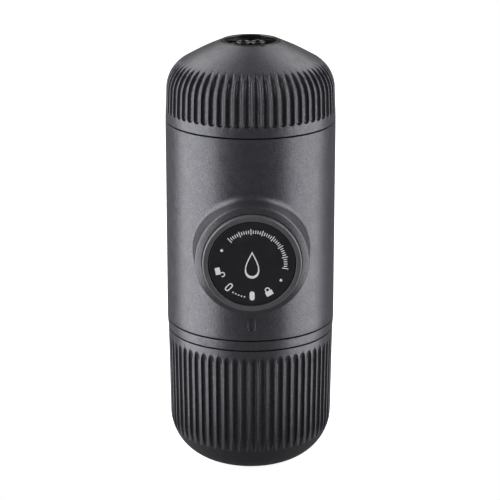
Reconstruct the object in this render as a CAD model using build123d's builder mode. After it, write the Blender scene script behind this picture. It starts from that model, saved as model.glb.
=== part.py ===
"""Handheld espresso maker, pumped by hand, standing on its cup.

Millimetres. The origin is the middle of the cup's base, +Z is up and the pump knob faces -Y.
From the floor up: the fluted cup with the water tank inside it, the tank's collar, the body casing
with the piston pump, and the fluted outlet head that holds the coffee basket and the nozzle.
"""

import os
from math import cos, radians, sin, sqrt, tan

from build123d import *

# ---------------------------------------------------------------------------------- fits
FIT = 0.05          # radial room between pieces that are fixed to each other
RUN = 0.1           # radial room between pieces that turn or slide in each other
PLAY = 0.2          # axial room at a stop
SEAM = 0.4          # open line between two outer shells
EDGE = 0.3          # broken edge on an outer shell

# ---------------------------------------------------------------------------------- outer shells
BODY_R = 30.5
SHELL_WALL = 2.0
CUP_H = 50.25
CUP_WALL = 2.6
CUP_RIM_IN = 0.3            # the cup's rim inside the body's radius
CUP_DRAFT = 0.75            # how far the cup's wall draws in from its rim to the floor
CUP_SHOULDER = 18.0
COLLAR_H = 3.45
CASING_H = 73.6
HEAD_H = 28.5
HEAD_DRAFT = 0.65           # how far the head's wall draws in up to its shoulder
HEAD_SHOULDER = 12.0
HEAD_CONE_SLOPE = 28.75
HEAD_CROWN_R = 17.0
HEAD_CROWN_SLOPE = 23.6
HEAD_CROWN_BLEND = 60.0
OUTLET_HOLE_R = 10.25

# ---------------------------------------------------------------------------------- flutes
FLUTES = 60
FLUTE_R = 1.05
HEAD_FLUTE_START = 4.9      # above the head's lower edge
HEAD_FLUTE_WRAP = 29.0      # degrees of the shoulder that a flute follows before it runs out
HEAD_FLUTE_TURN = 3.0       # degrees, so that a ridge faces the knob's side
CUP_FLUTE_START = 4.8       # below the cup's rim
CUP_FLUTE_WRAP = 2.5
CUP_FLUTE_TURN = 1.5
FLUTE_RUNOUT = 8.0

# ---------------------------------------------------------------------------------- tank
TANK_GAP = 0.85             # between tank and cup at the foot
TANK_FLOOR_GAP = 1.4
TANK_WALL = 1.5
TANK_SHOULDER = 15.5
TANK_RIM_RISE = 0.3         # the tank's rim above its collar
GRIP_DROP = 4.0             # the cup's grip ring below the cup's rim
GRIP_W = 1.6
GRIP_DEPTH = 0.6
SOCKET_DEPTH = 6.9
SOCKET_WALL = 2.0
THREAD_ROOM = 0.6           # radial room that the tank's thread takes
TANK_GASKET_H = 1.6

# ---------------------------------------------------------------------------------- casing and frame
DECK_T = 2.5
DECK_DROP = 1.1             # the upper deck below the casing's rim
LEDGE_T = 1.5
LEDGE_W = 2.0
KNOB_RISE = 31.8            # the pump's axis above the casing's lower edge
BOSS_PROUD = 7.8
BOSS_LIP = 0.6
BOSS_DRAFT = 5.9
BOSS_FLARE = 3.5
BOSS_L = 18.3
INDEX_W = 2.5
INDEX_L = 4.9
INDEX_DEPTH = 0.5
INDEX_RISE = 6.15           # the index mark's middle above the casing's lower edge
PLATE_Y = -3.0
PLATE_T = 3.0
PLATE_W = 28.0
WEB_T = 3.0
PAD_R = 3.2
FRAME_SCREW_X = 11.0
FRAME_SCREW_Y = 1.5
FRAME_SCREW_L = 10.0
SCREW_R = 1.5
SCREW_HEAD_R = 2.8
SCREW_HEAD_H = 1.6

# ---------------------------------------------------------------------------------- knob and its guide
STROKE = 20.0
UNLOCK_TURN = 45.0
KNOB_R = 17.55
KNOB_GAP = 0.35
KNOB_PROUD = 2.2
CAP_L = 6.1
BEZEL_W = 2.25
PLATE_SUNK = 0.3
KNOB_PLATE_T = 1.2
BARREL_R = 15.6
BARREL_WALL = 2.0
HUB_T = 2.5
LUGS = 3
LUG_START = 90.0            # degrees from the knob plane's x to the first lug's middle
LUG_ANGLE = 14.0
LUG_H = 1.0
LUG_L = 3.0
SLOT_ROOM = 1.0             # degrees beside a lug
SLOT_DEPTH_ROOM = 0.15
SLEEVE_LIP = 0.8
SLEEVE_TAIL = 1.0           # the sleeve's rear end past the barrel's
SLEEVE_FLANGE_R = 20.0
SLEEVE_FLANGE_T = 1.5
EAR_PCR = 22.4
EAR_START = 45.0
EAR_R = 2.6
EAR_L = 3.5
EARS = 4
EAR_SCREW_R = 1.0
EAR_SCREW_L = 3.0
EAR_SCREW_HEAD_R = 1.9
EAR_SCREW_HEAD_H = 1.5

# ---------------------------------------------------------------------------------- piston pump
CHAMBER_Y = 12.5            # closed end of the pump chamber
CHAMBER_WALL = 2.0
PISTON_R = 6.4
PISTON_L = 4.0
PISTON_GAP = 0.5            # between the piston and the chamber's end at rest
LINER_T = 1.0
HOUSING_WALL = 2.25
GUIDE_L = 4.0
GUIDE_FLANGE_T = 1.5
OVERRUN = 2.0               # liner length past the piston at full stroke
ROD_R = 4.0
ROD_PILOT_R = 3.0
ROD_TIP_R = 2.0
ROD_TIP_L = 3.0
SEAL_W = 1.6
SEAL_DEPTH = 1.0
SEAL_ROOM = 0.03
WASHER_R = 13.0
WASHER_T = 1.2
PIVOT_HEAD_R = 4.5
PIVOT_HEAD_H = 1.6
PIVOT_L = 9.0
PIVOT_ROOM = 0.8            # round the pivot screw's head in the knob
SPRING_R = 11.3             # middle of the wire
SPRING_WIRE_R = 0.7
SPRING_TURNS = 8

# ---------------------------------------------------------------------------------- valves
COLUMN_R = 5.5
PASSAGE_R = 1.5
BALL_R = 2.5
BALL_SEAT_ROOM = 0.02
VALVE_R = 3.0
VALVE_L = 10.0
VALVE_SPRING_R = 2.0
VALVE_WIRE_R = 0.25
VALVE_TURNS = 4
INLET_SEAT_L = 7.5
OUTLET_PLUG_L = 10.0
STRAINER_ROOM = 0.9         # between the strainer and the tank socket's wall
STRAINER_T = 1.2
STRAINER_STEM_R = 1.9
VENT_X = -13.0
VENT_Y = 8.0
VENT_R = 3.0
VENT_T = 0.8
VENT_STEM_R = 0.9
VENT_KNOB_R = 1.5
VENT_KNOB_T = 0.8

# ---------------------------------------------------------------------------------- brewing end
OUTLET_SEAL_W = 1.75
OUTLET_SEAL_H = 2.8
NECK_WALL = 3.0
NECK_H = 10.0
BREW_GASKET_W = 2.1
BREW_GASKET_H = 2.5
SHOWER_ROOM = 0.3           # between the shower screen and the gasket round it
SHOWER_T = 0.5
SHOWER_BOSS_R = 4.0
SHOWER_BOSS_H = 1.3
SHOWER_HOLE_R = 0.8
SHOWER_RINGS = [(10.2, 6), (16.4, 12)]      # radius and number of holes
SHOWER_SCREW_L = 4.0
BASKET_ROOM = 0.4           # between the basket's flange and the neck
BASKET_FLANGE_W = 1.7
BASKET_FLANGE_T = 0.7
BASKET_WALL = 0.7
BASKET_H = 15.5
SCREEN_T = 0.5
CORE_GAP = 0.4              # between the basket and the core round it
CORE_WALL = 1.4
CORE_PLATE_T = 1.7
CORE_FLOOR_GAP = 0.8
SKIRT_GAP = 0.3
SKIRT_FOOT = 0.2            # the skirt above the outlet seal
WEB_RISE = 1.0              # the core's web above the neck
CORE_WEB_T = 2.0
SPOUT_R = 3.0
SPOUT_WALL = 2.0
SPOUT_H = 2.5
NOZZLE_SUNK = 0.8
NOZZLE_RIM_W = 1.15
NOZZLE_HUB_R = 4.9
NOZZLE_HUB_SUNK = 0.6
NOZZLE_HUB_TOP_T = 1.0
NOZZLE_EYE_R = 1.3
NOZZLE_EYE_X = 2.1
NOZZLE_FLOOR_T = 2.0
NOZZLE_FLANGE_R = 12.0
NOZZLE_FLANGE_T = 1.0
NOZZLE_FLANGE_DROP = 3.5
NOZZLE_VANES = 6
NOZZLE_VANE_T = 0.8
NOZZLE_VANE_SUNK = 1.2

# ---------------------------------------------------------------------------------- levels along Z
collar_z = CUP_H + SEAM
collar_top = collar_z + COLLAR_H
casing_z = collar_top + SEAM
casing_top = casing_z + CASING_H
head_z = casing_top + SEAM
head_top = head_z + HEAD_H
knob_z = casing_z + KNOB_RISE

tank_z = CUP_WALL + TANK_FLOOR_GAP
tank_rim = collar_top + TANK_RIM_RISE
socket_z = tank_rim - SOCKET_DEPTH
lower_deck_z = tank_rim + TANK_GASKET_H
lower_deck_top = lower_deck_z + DECK_T
upper_deck_top = casing_top - DECK_DROP
upper_deck_z = upper_deck_top - DECK_T
frame_h = upper_deck_z - lower_deck_top

inlet_valve_z = lower_deck_top + INLET_SEAT_L
outlet_valve_z = upper_deck_z - OUTLET_PLUG_L - VALVE_L
ball_rise = sqrt(BALL_R**2 - PASSAGE_R**2) + BALL_SEAT_ROOM

basket_z = upper_deck_top + BREW_GASKET_H
basket_top = basket_z + BASKET_H
neck_top = upper_deck_top + NECK_H
core_z = basket_z + BASKET_FLANGE_T
core_plate_z = basket_top + CORE_FLOOR_GAP
core_top = core_plate_z + CORE_PLATE_T
spout_top = core_top + SPOUT_H
skirt_z = upper_deck_top + OUTLET_SEAL_H + SKIRT_FOOT
web_z = neck_top + WEB_RISE
crown_z = head_top - (HEAD_CROWN_R - OUTLET_HOLE_R) * tan(radians(HEAD_CROWN_SLOPE))
shoulder_z = crown_z - (BODY_R - HEAD_DRAFT - HEAD_CROWN_R) * tan(radians(HEAD_CONE_SLOPE))

# ---------------------------------------------------------------------------------- places along Y
knob_face_y = -(BODY_R + BOSS_PROUD + KNOB_PROUD)
boss_face_y = knob_face_y + KNOB_PROUD
boss_rear_y = boss_face_y + BOSS_L
cap_rear_y = knob_face_y + CAP_L
hub_y = cap_rear_y - HUB_T
plate_floor_y = knob_face_y + PLATE_SUNK + KNOB_PLATE_T
sleeve_y = cap_rear_y + SEAM
slot_y = sleeve_y + SLEEVE_LIP
lug_y = slot_y + STROKE + PLAY
barrel_rear_y = lug_y + LUG_L
sleeve_rear_y = barrel_rear_y + SLEEVE_TAIL
flange_rear_y = boss_rear_y + SLEEVE_FLANGE_T
washer_y = cap_rear_y + FIT
spring_y = washer_y + WASHER_T
piston_rear_y = CHAMBER_Y - PISTON_GAP
piston_y = piston_rear_y - PISTON_L
liner_y = piston_y - STROKE - OVERRUN
guide_y = liner_y - GUIDE_L
column_y = CHAMBER_Y + CHAMBER_WALL + PASSAGE_R

# ---------------------------------------------------------------------------------- radii
casing_inner_r = BODY_R - SHELL_WALL
deck_r = casing_inner_r - FIT
cup_rim_r = BODY_R - CUP_RIM_IN
cup_foot_r = cup_rim_r - CUP_DRAFT
cup_inner_foot_r = cup_foot_r - CUP_WALL
cup_inner_rim_r = cup_rim_r - CUP_WALL
cup_taper = CUP_DRAFT / CUP_H
tank_r = cup_inner_foot_r - TANK_GAP
tank_inner_r = tank_r - TANK_WALL
socket_r = tank_inner_r - THREAD_ROOM
strainer_r = socket_r - SOCKET_WALL - STRAINER_ROOM - column_y
boss_bore_r = KNOB_R + KNOB_GAP
boss_face_r = boss_bore_r + BOSS_LIP
boss_root_r = boss_face_r + BOSS_L * tan(radians(BOSS_DRAFT))
sleeve_r = boss_bore_r - FIT
lug_r = BARREL_R + LUG_H
barrel_inner_r = BARREL_R - BARREL_WALL
bore_r = PISTON_R + RUN
liner_r = bore_r + LINER_T
housing_r = liner_r + FIT + HOUSING_WALL
head_shoulder_r = BODY_R - HEAD_DRAFT
head_inner_r = head_shoulder_r - SHELL_WALL
head_taper = HEAD_DRAFT / (shoulder_z - head_z)
skirt_r = head_inner_r - FIT
neck_r = skirt_r - OUTLET_SEAL_W - FIT
neck_inner_r = neck_r - NECK_WALL
skirt_inner_r = neck_r + SKIRT_GAP
brew_gasket_r = neck_inner_r - RUN
shower_r = brew_gasket_r - BREW_GASKET_W - SHOWER_ROOM
basket_flange_r = neck_inner_r - BASKET_ROOM
basket_r = basket_flange_r - BASKET_FLANGE_W
core_inner_r = basket_r + CORE_GAP
core_outer_r = core_inner_r + CORE_WALL

# ---------------------------------------------------------------------------------- working planes
PUMP_SIDE = Plane(origin=(0, 0, knob_z), x_dir=(0, 1, 0), z_dir=(1, 0, 0))  # points are (y, radius)
PUMP_AXIS = Axis((0, 0, knob_z), (0, 1, 0))
FRAME_SCREWS = [(-FRAME_SCREW_X, FRAME_SCREW_Y), (FRAME_SCREW_X, FRAME_SCREW_Y)]


def knob_plane(y):
    """The plane across the pump's axis at y, seen from the front: its normal is -Y."""
    return Plane(origin=(0, y, knob_z), x_dir=(1, 0, 0), z_dir=(0, -1, 0))


def outline(plane, *points):
    """A closed straight-sided face."""
    with BuildSketch(plane) as face:
        with BuildLine():
            Polyline(*points, close=True)
        make_face()
    return face.sketch


def annulus(plane, outer, inner, centre=(0, 0)):
    """A ring-shaped face."""
    with BuildSketch(plane) as face:
        with Locations(centre):
            Circle(outer)
            Circle(inner, mode=Mode.SUBTRACT)
    return face.sketch


def disc(plane, radius, *centres):
    """One round face at each centre."""
    with BuildSketch(plane) as face:
        with Locations(*(centres or [(0, 0)])):
            Circle(radius)
    return face.sketch


def sector(plane, inner, outer, start, span):
    """A slice of a ring from the angle start through span."""
    with BuildSketch(plane) as face:
        with BuildLine():
            rim = CenterArc((0, 0), outer, start, span)
            root = CenterArc((0, 0), inner, start, span)
            Line(rim @ 0, root @ 0)
            Line(rim @ 1, root @ 1)
        make_face()
    return face.sketch


def outer_rims(builder, radius):
    """The round edges of a piece that are wider than the radius."""
    return builder.edges().filter_by(GeomType.CIRCLE).filter_by(lambda edge: edge.radius > radius)


def bowl(foot_r, foot_z, rim_r, rim_z, shoulder):
    """Half section of a solid bowl: flat foot, one round shoulder and a tapered wall."""
    with BuildSketch(Plane.XZ) as face:
        with BuildLine():
            FilletPolyline((0, foot_z), (foot_r, foot_z), (rim_r, rim_z), radius=shoulder)
            Polyline((rim_r, rim_z), (0, rim_z), (0, foot_z))
        make_face()
    return face.sketch


def dome(foot_r, foot_z, inset):
    """Half section of the solid outlet head, drawn in by inset: wall, round shoulder, cone and crown."""
    shoulder = (head_shoulder_r - inset, shoulder_z - inset * tan(radians(45 - HEAD_CONE_SLOPE / 2)))
    crown = (HEAD_CROWN_R, crown_z - inset / cos(radians(HEAD_CONE_SLOPE)))
    top = (OUTLET_HOLE_R, head_top - inset / cos(radians(HEAD_CROWN_SLOPE)))
    with BuildSketch(Plane.XZ) as face:
        with BuildLine():
            FilletPolyline((foot_r, foot_z), shoulder, crown, top,
                           radius=[HEAD_SHOULDER - inset, HEAD_CROWN_BLEND])
            Polyline(top, (0, top[1]), (0, foot_z), (foot_r, foot_z))
        make_face()
    return face.sketch


def flute(start, corner, shoulder, turn, wrap, side):
    """Cutter for one flute: a ball end, a run along the wall, round part of the shoulder, then off it.

    start and corner lie on the wall's line, turn is the angle of the whole shoulder, wrap the part
    of it that is followed, and side is 1 where the wall bends to the left of the way it runs.
    """
    tangent_length = shoulder * tan(radians(turn / 2))
    with BuildLine(Plane.XZ) as path:
        whole = Line(start, corner, mode=Mode.PRIVATE)
        run = Line(start, whole @ (1 - tangent_length / whole.length))
        bend = JernArc(run @ 1, run % 1, shoulder, side * wrap)
        Line(bend @ 1, bend @ 1 + bend % 1 * FLUTE_RUNOUT)
    with BuildPart() as cutter:
        with BuildSketch(path.line ^ 0):
            Circle(FLUTE_R)
        sweep(path=path.line)
        with Locations(path.line @ 0):
            Sphere(FLUTE_R)
    return cutter.part


def coil(start, along, length, radius, wire, turns):
    """A round-wire compression spring of the given length, from start along the direction."""
    pitch = (length - 2 * wire) / turns
    first = Vector(*start) + Vector(*along) * wire
    with BuildPart() as spring:
        with BuildLine() as helix:
            Helix(pitch, pitch * turns, radius, center=first, direction=along)
        with BuildSketch(helix.line ^ 0):
            Circle(wire)
        sweep(path=helix.line, is_frenet=True)
    return spring


def screws(head_plane, centres, head_r, head_h, shank_r, shank_l):
    """Round-head screws: heads stand on the plane towards its normal, shanks go the other way."""
    with BuildPart() as group:
        extrude(disc(head_plane, head_r, *centres), amount=head_h)
        extrude(disc(head_plane, shank_r, *centres), amount=-shank_l)
    return group


# ================================================================================== cup
with BuildPart() as cup:
    revolve(bowl(cup_foot_r, 0, cup_rim_r, CUP_H, CUP_SHOULDER), axis=Axis.Z)
    chamfer(cup.edges().group_by(Axis.Z)[-1], EDGE)
    revolve(bowl(cup_inner_foot_r, CUP_WALL, cup_inner_rim_r, CUP_H, CUP_SHOULDER - CUP_WALL),
            axis=Axis.Z, mode=Mode.SUBTRACT)
    flute_z = CUP_H - CUP_FLUTE_START
    cup_flute = flute((cup_foot_r + cup_taper * flute_z, flute_z), (cup_foot_r, 0), CUP_SHOULDER,
                      90, CUP_FLUTE_WRAP, -1)
    with PolarLocations(0, FLUTES, start_angle=CUP_FLUTE_TURN):
        add(cup_flute, mode=Mode.SUBTRACT)

# ================================================================================== water tank
grip_z = CUP_H - GRIP_DROP
with BuildPart() as water_tank:
    revolve(bowl(tank_r, tank_z, tank_r, tank_rim, TANK_SHOULDER), axis=Axis.Z)
    revolve(bowl(tank_inner_r, tank_z + TANK_WALL, tank_inner_r, tank_rim, TANK_SHOULDER - TANK_WALL),
            axis=Axis.Z, mode=Mode.SUBTRACT)
    extrude(annulus(Plane.XY.offset(grip_z), tank_r + FIT, tank_r - GRIP_DEPTH), amount=-GRIP_W,
            mode=Mode.SUBTRACT)

with BuildPart() as cup_grip_ring:
    grip_r = cup_foot_r - CUP_WALL + cup_taper * grip_z - RUN
    extrude(annulus(Plane.XY.offset(grip_z), grip_r, tank_r - GRIP_DEPTH + FIT), amount=-GRIP_W)
    fillet(outer_rims(cup_grip_ring, tank_r), GRIP_W / 3)

with BuildPart() as tank_collar:
    revolve(outline(Plane.XZ, (tank_r + FIT, collar_z), (cup_rim_r, collar_z), (BODY_R, collar_top),
                    (tank_r + FIT, collar_top)), axis=Axis.Z)
    chamfer(outer_rims(tank_collar, tank_r + RUN), EDGE)

with BuildPart() as tank_gasket:
    extrude(annulus(Plane.XY.offset(tank_rim), tank_r, socket_r + FIT), amount=TANK_GASKET_H)

# ================================================================================== body casing
boss_points = [(boss_face_y, 0), (boss_face_y, boss_face_r), (boss_rear_y, boss_root_r), (boss_rear_y, 0)]

with BuildPart() as casing_cavity:
    extrude(disc(Plane.XY.offset(casing_z), casing_inner_r), amount=CASING_H)
    revolve(outline(PUMP_SIDE, *boss_points), axis=PUMP_AXIS, mode=Mode.SUBTRACT)
    for ledge_z in (lower_deck_top, upper_deck_z - LEDGE_T):
        extrude(annulus(Plane.XY.offset(ledge_z), casing_inner_r, casing_inner_r - LEDGE_W),
                amount=LEDGE_T, mode=Mode.SUBTRACT)
    with BuildSketch(knob_plane(boss_rear_y)):
        with PolarLocations(EAR_PCR, EARS, start_angle=EAR_START):
            Circle(EAR_R)
    extrude(amount=EAR_L, mode=Mode.SUBTRACT)

with BuildPart() as body_casing:
    extrude(disc(Plane.XY.offset(casing_z), BODY_R), amount=CASING_H)
    chamfer(body_casing.edges().filter_by(GeomType.CIRCLE), EDGE)
    revolve(outline(PUMP_SIDE, *boss_points), axis=PUMP_AXIS)
    flare = body_casing.edges().filter_by(GeomType.CIRCLE, reverse=True)
    fillet(flare.filter_by(GeomType.LINE, reverse=True), BOSS_FLARE)
    add(casing_cavity.part, mode=Mode.SUBTRACT)
    extrude(disc(knob_plane(boss_rear_y), boss_bore_r), amount=BOSS_L, mode=Mode.SUBTRACT)
    with BuildSketch(knob_plane(boss_rear_y)):
        with PolarLocations(EAR_PCR, EARS, start_angle=EAR_START):
            Circle(EAR_SCREW_R + FIT)
    extrude(amount=EAR_SCREW_L, mode=Mode.SUBTRACT)
    with BuildSketch(Plane.XZ.offset(BODY_R - INDEX_DEPTH)):
        with Locations((0, casing_z + INDEX_RISE)):
            SlotOverall(INDEX_L, INDEX_W, rotation=90)
    extrude(amount=2 * INDEX_DEPTH, mode=Mode.SUBTRACT)

# ================================================================================== knob guide
with BuildPart() as guide_sleeve:
    barrel_bore_r = BARREL_R + RUN
    revolve(outline(PUMP_SIDE,
                    (sleeve_y, barrel_bore_r), (sleeve_y, sleeve_r),
                    (boss_rear_y, sleeve_r), (boss_rear_y, SLEEVE_FLANGE_R),
                    (flange_rear_y, SLEEVE_FLANGE_R), (flange_rear_y, sleeve_r),
                    (sleeve_rear_y, sleeve_r), (sleeve_rear_y, barrel_bore_r)), axis=PUMP_AXIS)
    with BuildSketch(knob_plane(flange_rear_y)):
        with PolarLocations(EAR_PCR, EARS, start_angle=EAR_START):
            Circle(EAR_R)
    extrude(amount=SLEEVE_FLANGE_T)
    with BuildSketch(knob_plane(flange_rear_y)):
        with PolarLocations(EAR_PCR, EARS, start_angle=EAR_START):
            Circle(EAR_SCREW_R + FIT)
    extrude(amount=SLEEVE_FLANGE_T, mode=Mode.SUBTRACT)
    for lug in range(LUGS):
        slot_start = LUG_START + lug * 360 / LUGS - LUG_ANGLE / 2 - SLOT_ROOM
        slot = sector(knob_plane(sleeve_rear_y), BARREL_R, lug_r + SLOT_DEPTH_ROOM, slot_start,
                      LUG_ANGLE + UNLOCK_TURN + 2 * SLOT_ROOM)
        extrude(slot, amount=sleeve_rear_y - slot_y, mode=Mode.SUBTRACT)

ear_angles = [radians(EAR_START + ear * 360 / EARS) for ear in range(EARS)]
ear_centres = [(EAR_PCR * cos(angle), EAR_PCR * sin(angle)) for angle in ear_angles]
sleeve_head_plane = Plane(origin=(0, flange_rear_y, knob_z), x_dir=(-1, 0, 0), z_dir=(0, 1, 0))
sleeve_screws = screws(sleeve_head_plane, ear_centres, EAR_SCREW_HEAD_R, EAR_SCREW_HEAD_H,
                       EAR_SCREW_R, SLEEVE_FLANGE_T + EAR_SCREW_L - PLAY)

# ================================================================================== decks
with BuildPart() as tank_socket:
    extrude(disc(Plane.XY.offset(lower_deck_z), deck_r), amount=DECK_T)
    extrude(annulus(Plane.XY.offset(socket_z), socket_r, socket_r - SOCKET_WALL),
            amount=lower_deck_z - socket_z)
    extrude(disc(Plane.XY.offset(lower_deck_z), STRAINER_STEM_R + FIT, (0, column_y)), amount=DECK_T,
            mode=Mode.SUBTRACT)
    extrude(disc(Plane.XY.offset(lower_deck_z), VENT_STEM_R + FIT, (VENT_X, VENT_Y)), amount=DECK_T,
            mode=Mode.SUBTRACT)
    extrude(disc(Plane.XY.offset(lower_deck_z), SCREW_R + FIT, *FRAME_SCREWS), amount=DECK_T,
            mode=Mode.SUBTRACT)
    extrude(disc(Plane.XY.offset(lower_deck_z), SCREW_HEAD_R + RUN, *FRAME_SCREWS), amount=SCREW_HEAD_H,
            mode=Mode.SUBTRACT)

with BuildPart() as brew_head:
    extrude(disc(Plane.XY.offset(upper_deck_z), deck_r), amount=DECK_T)
    extrude(annulus(Plane.XY.offset(upper_deck_top), neck_r, neck_inner_r), amount=NECK_H)
    extrude(disc(Plane.XY.offset(upper_deck_top), SHOWER_BOSS_R), amount=SHOWER_BOSS_H)
    extrude(disc(Plane.XY.offset(upper_deck_top + SHOWER_BOSS_H), SCREW_R + FIT),
            amount=-SHOWER_SCREW_L, mode=Mode.SUBTRACT)
    extrude(disc(Plane.XY.offset(upper_deck_z), PASSAGE_R, (0, column_y)), amount=DECK_T,
            mode=Mode.SUBTRACT)
    extrude(disc(Plane.XY.offset(upper_deck_z), SCREW_R + FIT, *FRAME_SCREWS), amount=DECK_T,
            mode=Mode.SUBTRACT)
    extrude(disc(Plane.XY.offset(upper_deck_top), SCREW_HEAD_R + RUN, *FRAME_SCREWS),
            amount=-SCREW_HEAD_H, mode=Mode.SUBTRACT)

lower_head_plane = Plane(origin=(0, 0, lower_deck_z + SCREW_HEAD_H), x_dir=(1, 0, 0), z_dir=(0, 0, -1))
lower_frame_screws = screws(lower_head_plane, [(x, -y) for x, y in FRAME_SCREWS], SCREW_HEAD_R,
                            SCREW_HEAD_H, SCREW_R, FRAME_SCREW_L)
upper_frame_screws = screws(Plane.XY.offset(upper_deck_top - SCREW_HEAD_H), FRAME_SCREWS, SCREW_HEAD_R,
                            SCREW_HEAD_H, SCREW_R, FRAME_SCREW_L)

# ================================================================================== pump block
with BuildPart() as pump_block:
    with BuildSketch(Plane.XY.offset(lower_deck_top)):
        with Locations((0, PLATE_Y + PLATE_T / 2)):
            Rectangle(PLATE_W, PLATE_T)
        with Locations(*FRAME_SCREWS):
            Circle(PAD_R)
        with Locations((0, column_y)):
            Circle(COLUMN_R)
        with Locations((0, (PLATE_Y + column_y) / 2)):
            Rectangle(WEB_T, column_y - PLATE_Y)
    extrude(amount=frame_h)
    extrude(disc(knob_plane(CHAMBER_Y + CHAMBER_WALL), housing_r), amount=CHAMBER_Y + CHAMBER_WALL - guide_y)
    extrude(disc(knob_plane(CHAMBER_Y), liner_r + FIT), amount=CHAMBER_Y - guide_y, mode=Mode.SUBTRACT)
    extrude(disc(knob_plane(column_y), PASSAGE_R), amount=column_y - CHAMBER_Y, mode=Mode.SUBTRACT)
    extrude(disc(Plane.XY.offset(lower_deck_top), PASSAGE_R, (0, column_y)), amount=frame_h,
            mode=Mode.SUBTRACT)
    extrude(disc(Plane.XY.offset(lower_deck_top), VALVE_R, (0, column_y)), amount=INLET_SEAT_L + VALVE_L,
            mode=Mode.SUBTRACT)
    extrude(disc(Plane.XY.offset(upper_deck_z), VALVE_R, (0, column_y)), amount=-OUTLET_PLUG_L - VALVE_L,
            mode=Mode.SUBTRACT)
    screw_depth = FRAME_SCREW_L - DECK_T + SCREW_HEAD_H + PLAY
    extrude(disc(Plane.XY.offset(lower_deck_top), SCREW_R + FIT, *FRAME_SCREWS), amount=screw_depth,
            mode=Mode.SUBTRACT)
    extrude(disc(Plane.XY.offset(upper_deck_z), SCREW_R + FIT, *FRAME_SCREWS), amount=-screw_depth,
            mode=Mode.SUBTRACT)

with BuildPart() as pump_cylinder:
    extrude(annulus(knob_plane(CHAMBER_Y), liner_r, bore_r), amount=CHAMBER_Y - liner_y)

with BuildPart() as rod_guide:
    revolve(outline(PUMP_SIDE,
                    (liner_y, ROD_R + FIT), (liner_y, liner_r), (guide_y, liner_r),
                    (guide_y, housing_r), (guide_y - GUIDE_FLANGE_T, housing_r),
                    (guide_y - GUIDE_FLANGE_T, ROD_R + FIT)), axis=PUMP_AXIS)

return_spring = coil((0, spring_y, knob_z), (0, 1, 0), PLATE_Y - spring_y, SPRING_R, SPRING_WIRE_R,
                     SPRING_TURNS)

# ================================================================================== piston
with BuildPart() as piston_rod:
    revolve(outline(PUMP_SIDE,
                    (hub_y + FIT, 0), (hub_y + FIT, ROD_PILOT_R), (washer_y, ROD_PILOT_R),
                    (washer_y, ROD_R), (piston_y, ROD_R), (piston_y, ROD_TIP_R),
                    (piston_y + ROD_TIP_L, ROD_TIP_R), (piston_y + ROD_TIP_L, 0)), axis=PUMP_AXIS)
    extrude(disc(knob_plane(hub_y + FIT), SCREW_R + FIT), amount=-PIVOT_L, mode=Mode.SUBTRACT)

with BuildPart() as piston_head:
    extrude(disc(knob_plane(piston_rear_y), PISTON_R), amount=PISTON_L)
    extrude(disc(knob_plane(piston_y), ROD_TIP_R + FIT), amount=-ROD_TIP_L - FIT, mode=Mode.SUBTRACT)
    groove = annulus(knob_plane(piston_y + (PISTON_L + SEAL_W) / 2), PISTON_R + FIT, PISTON_R - SEAL_DEPTH)
    extrude(groove, amount=SEAL_W, mode=Mode.SUBTRACT)

with BuildPart() as piston_seal:
    extrude(annulus(knob_plane(piston_y + (PISTON_L + SEAL_W) / 2), bore_r - SEAL_ROOM,
                    PISTON_R - SEAL_DEPTH + FIT), amount=SEAL_W)
    fillet(outer_rims(piston_seal, PISTON_R), SEAL_W / 3)

with BuildPart() as thrust_washer:
    extrude(annulus(knob_plane(washer_y + WASHER_T), WASHER_R, ROD_R + FIT), amount=WASHER_T)

pivot_screw = screws(knob_plane(hub_y - FIT), [(0, 0)], PIVOT_HEAD_R, PIVOT_HEAD_H, SCREW_R,
                     PIVOT_L - PLAY)

# ================================================================================== knob
with BuildPart() as knob_cap:
    revolve(outline(PUMP_SIDE,
                    (knob_face_y, KNOB_R - BEZEL_W), (knob_face_y, KNOB_R), (cap_rear_y, KNOB_R),
                    (cap_rear_y, BARREL_R + FIT), (hub_y, BARREL_R + FIT),
                    (hub_y, PIVOT_HEAD_R + PIVOT_ROOM), (plate_floor_y, PIVOT_HEAD_R + PIVOT_ROOM),
                    (plate_floor_y, KNOB_R - BEZEL_W)), axis=PUMP_AXIS)
    fillet(knob_cap.edges().group_by(Axis.Y)[0].sort_by(SortBy.RADIUS)[-1], 2 * EDGE)

with BuildPart() as knob_plate:
    extrude(disc(knob_plane(plate_floor_y), KNOB_R - BEZEL_W - FIT), amount=KNOB_PLATE_T)
    chamfer(knob_plate.edges().group_by(Axis.Y)[0], EDGE)

with BuildPart() as piston_barrel:
    revolve(outline(PUMP_SIDE,
                    (hub_y, ROD_PILOT_R + RUN), (hub_y, BARREL_R), (barrel_rear_y, BARREL_R),
                    (barrel_rear_y, barrel_inner_r), (cap_rear_y, barrel_inner_r),
                    (cap_rear_y, ROD_PILOT_R + RUN)), axis=PUMP_AXIS)
    for lug in range(LUGS):
        lug_face = sector(knob_plane(barrel_rear_y), barrel_inner_r + BARREL_WALL / 2, lug_r,
                          LUG_START + lug * 360 / LUGS - LUG_ANGLE / 2, LUG_ANGLE)
        extrude(lug_face, amount=LUG_L)

# ================================================================================== valves
with BuildPart() as inlet_valve_seat:
    extrude(annulus(Plane.XY.offset(lower_deck_top), VALVE_R - FIT, PASSAGE_R, (0, column_y)),
            amount=INLET_SEAT_L)

with BuildPart() as outlet_valve_plug:
    extrude(annulus(Plane.XY.offset(upper_deck_z), VALVE_R - FIT, PASSAGE_R, (0, column_y)),
            amount=-OUTLET_PLUG_L)

with BuildPart() as inlet_valve_ball:
    with Locations((0, column_y, inlet_valve_z + ball_rise)):
        Sphere(BALL_R)

with BuildPart() as outlet_valve_ball:
    with Locations((0, column_y, outlet_valve_z + ball_rise)):
        Sphere(BALL_R)

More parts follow.
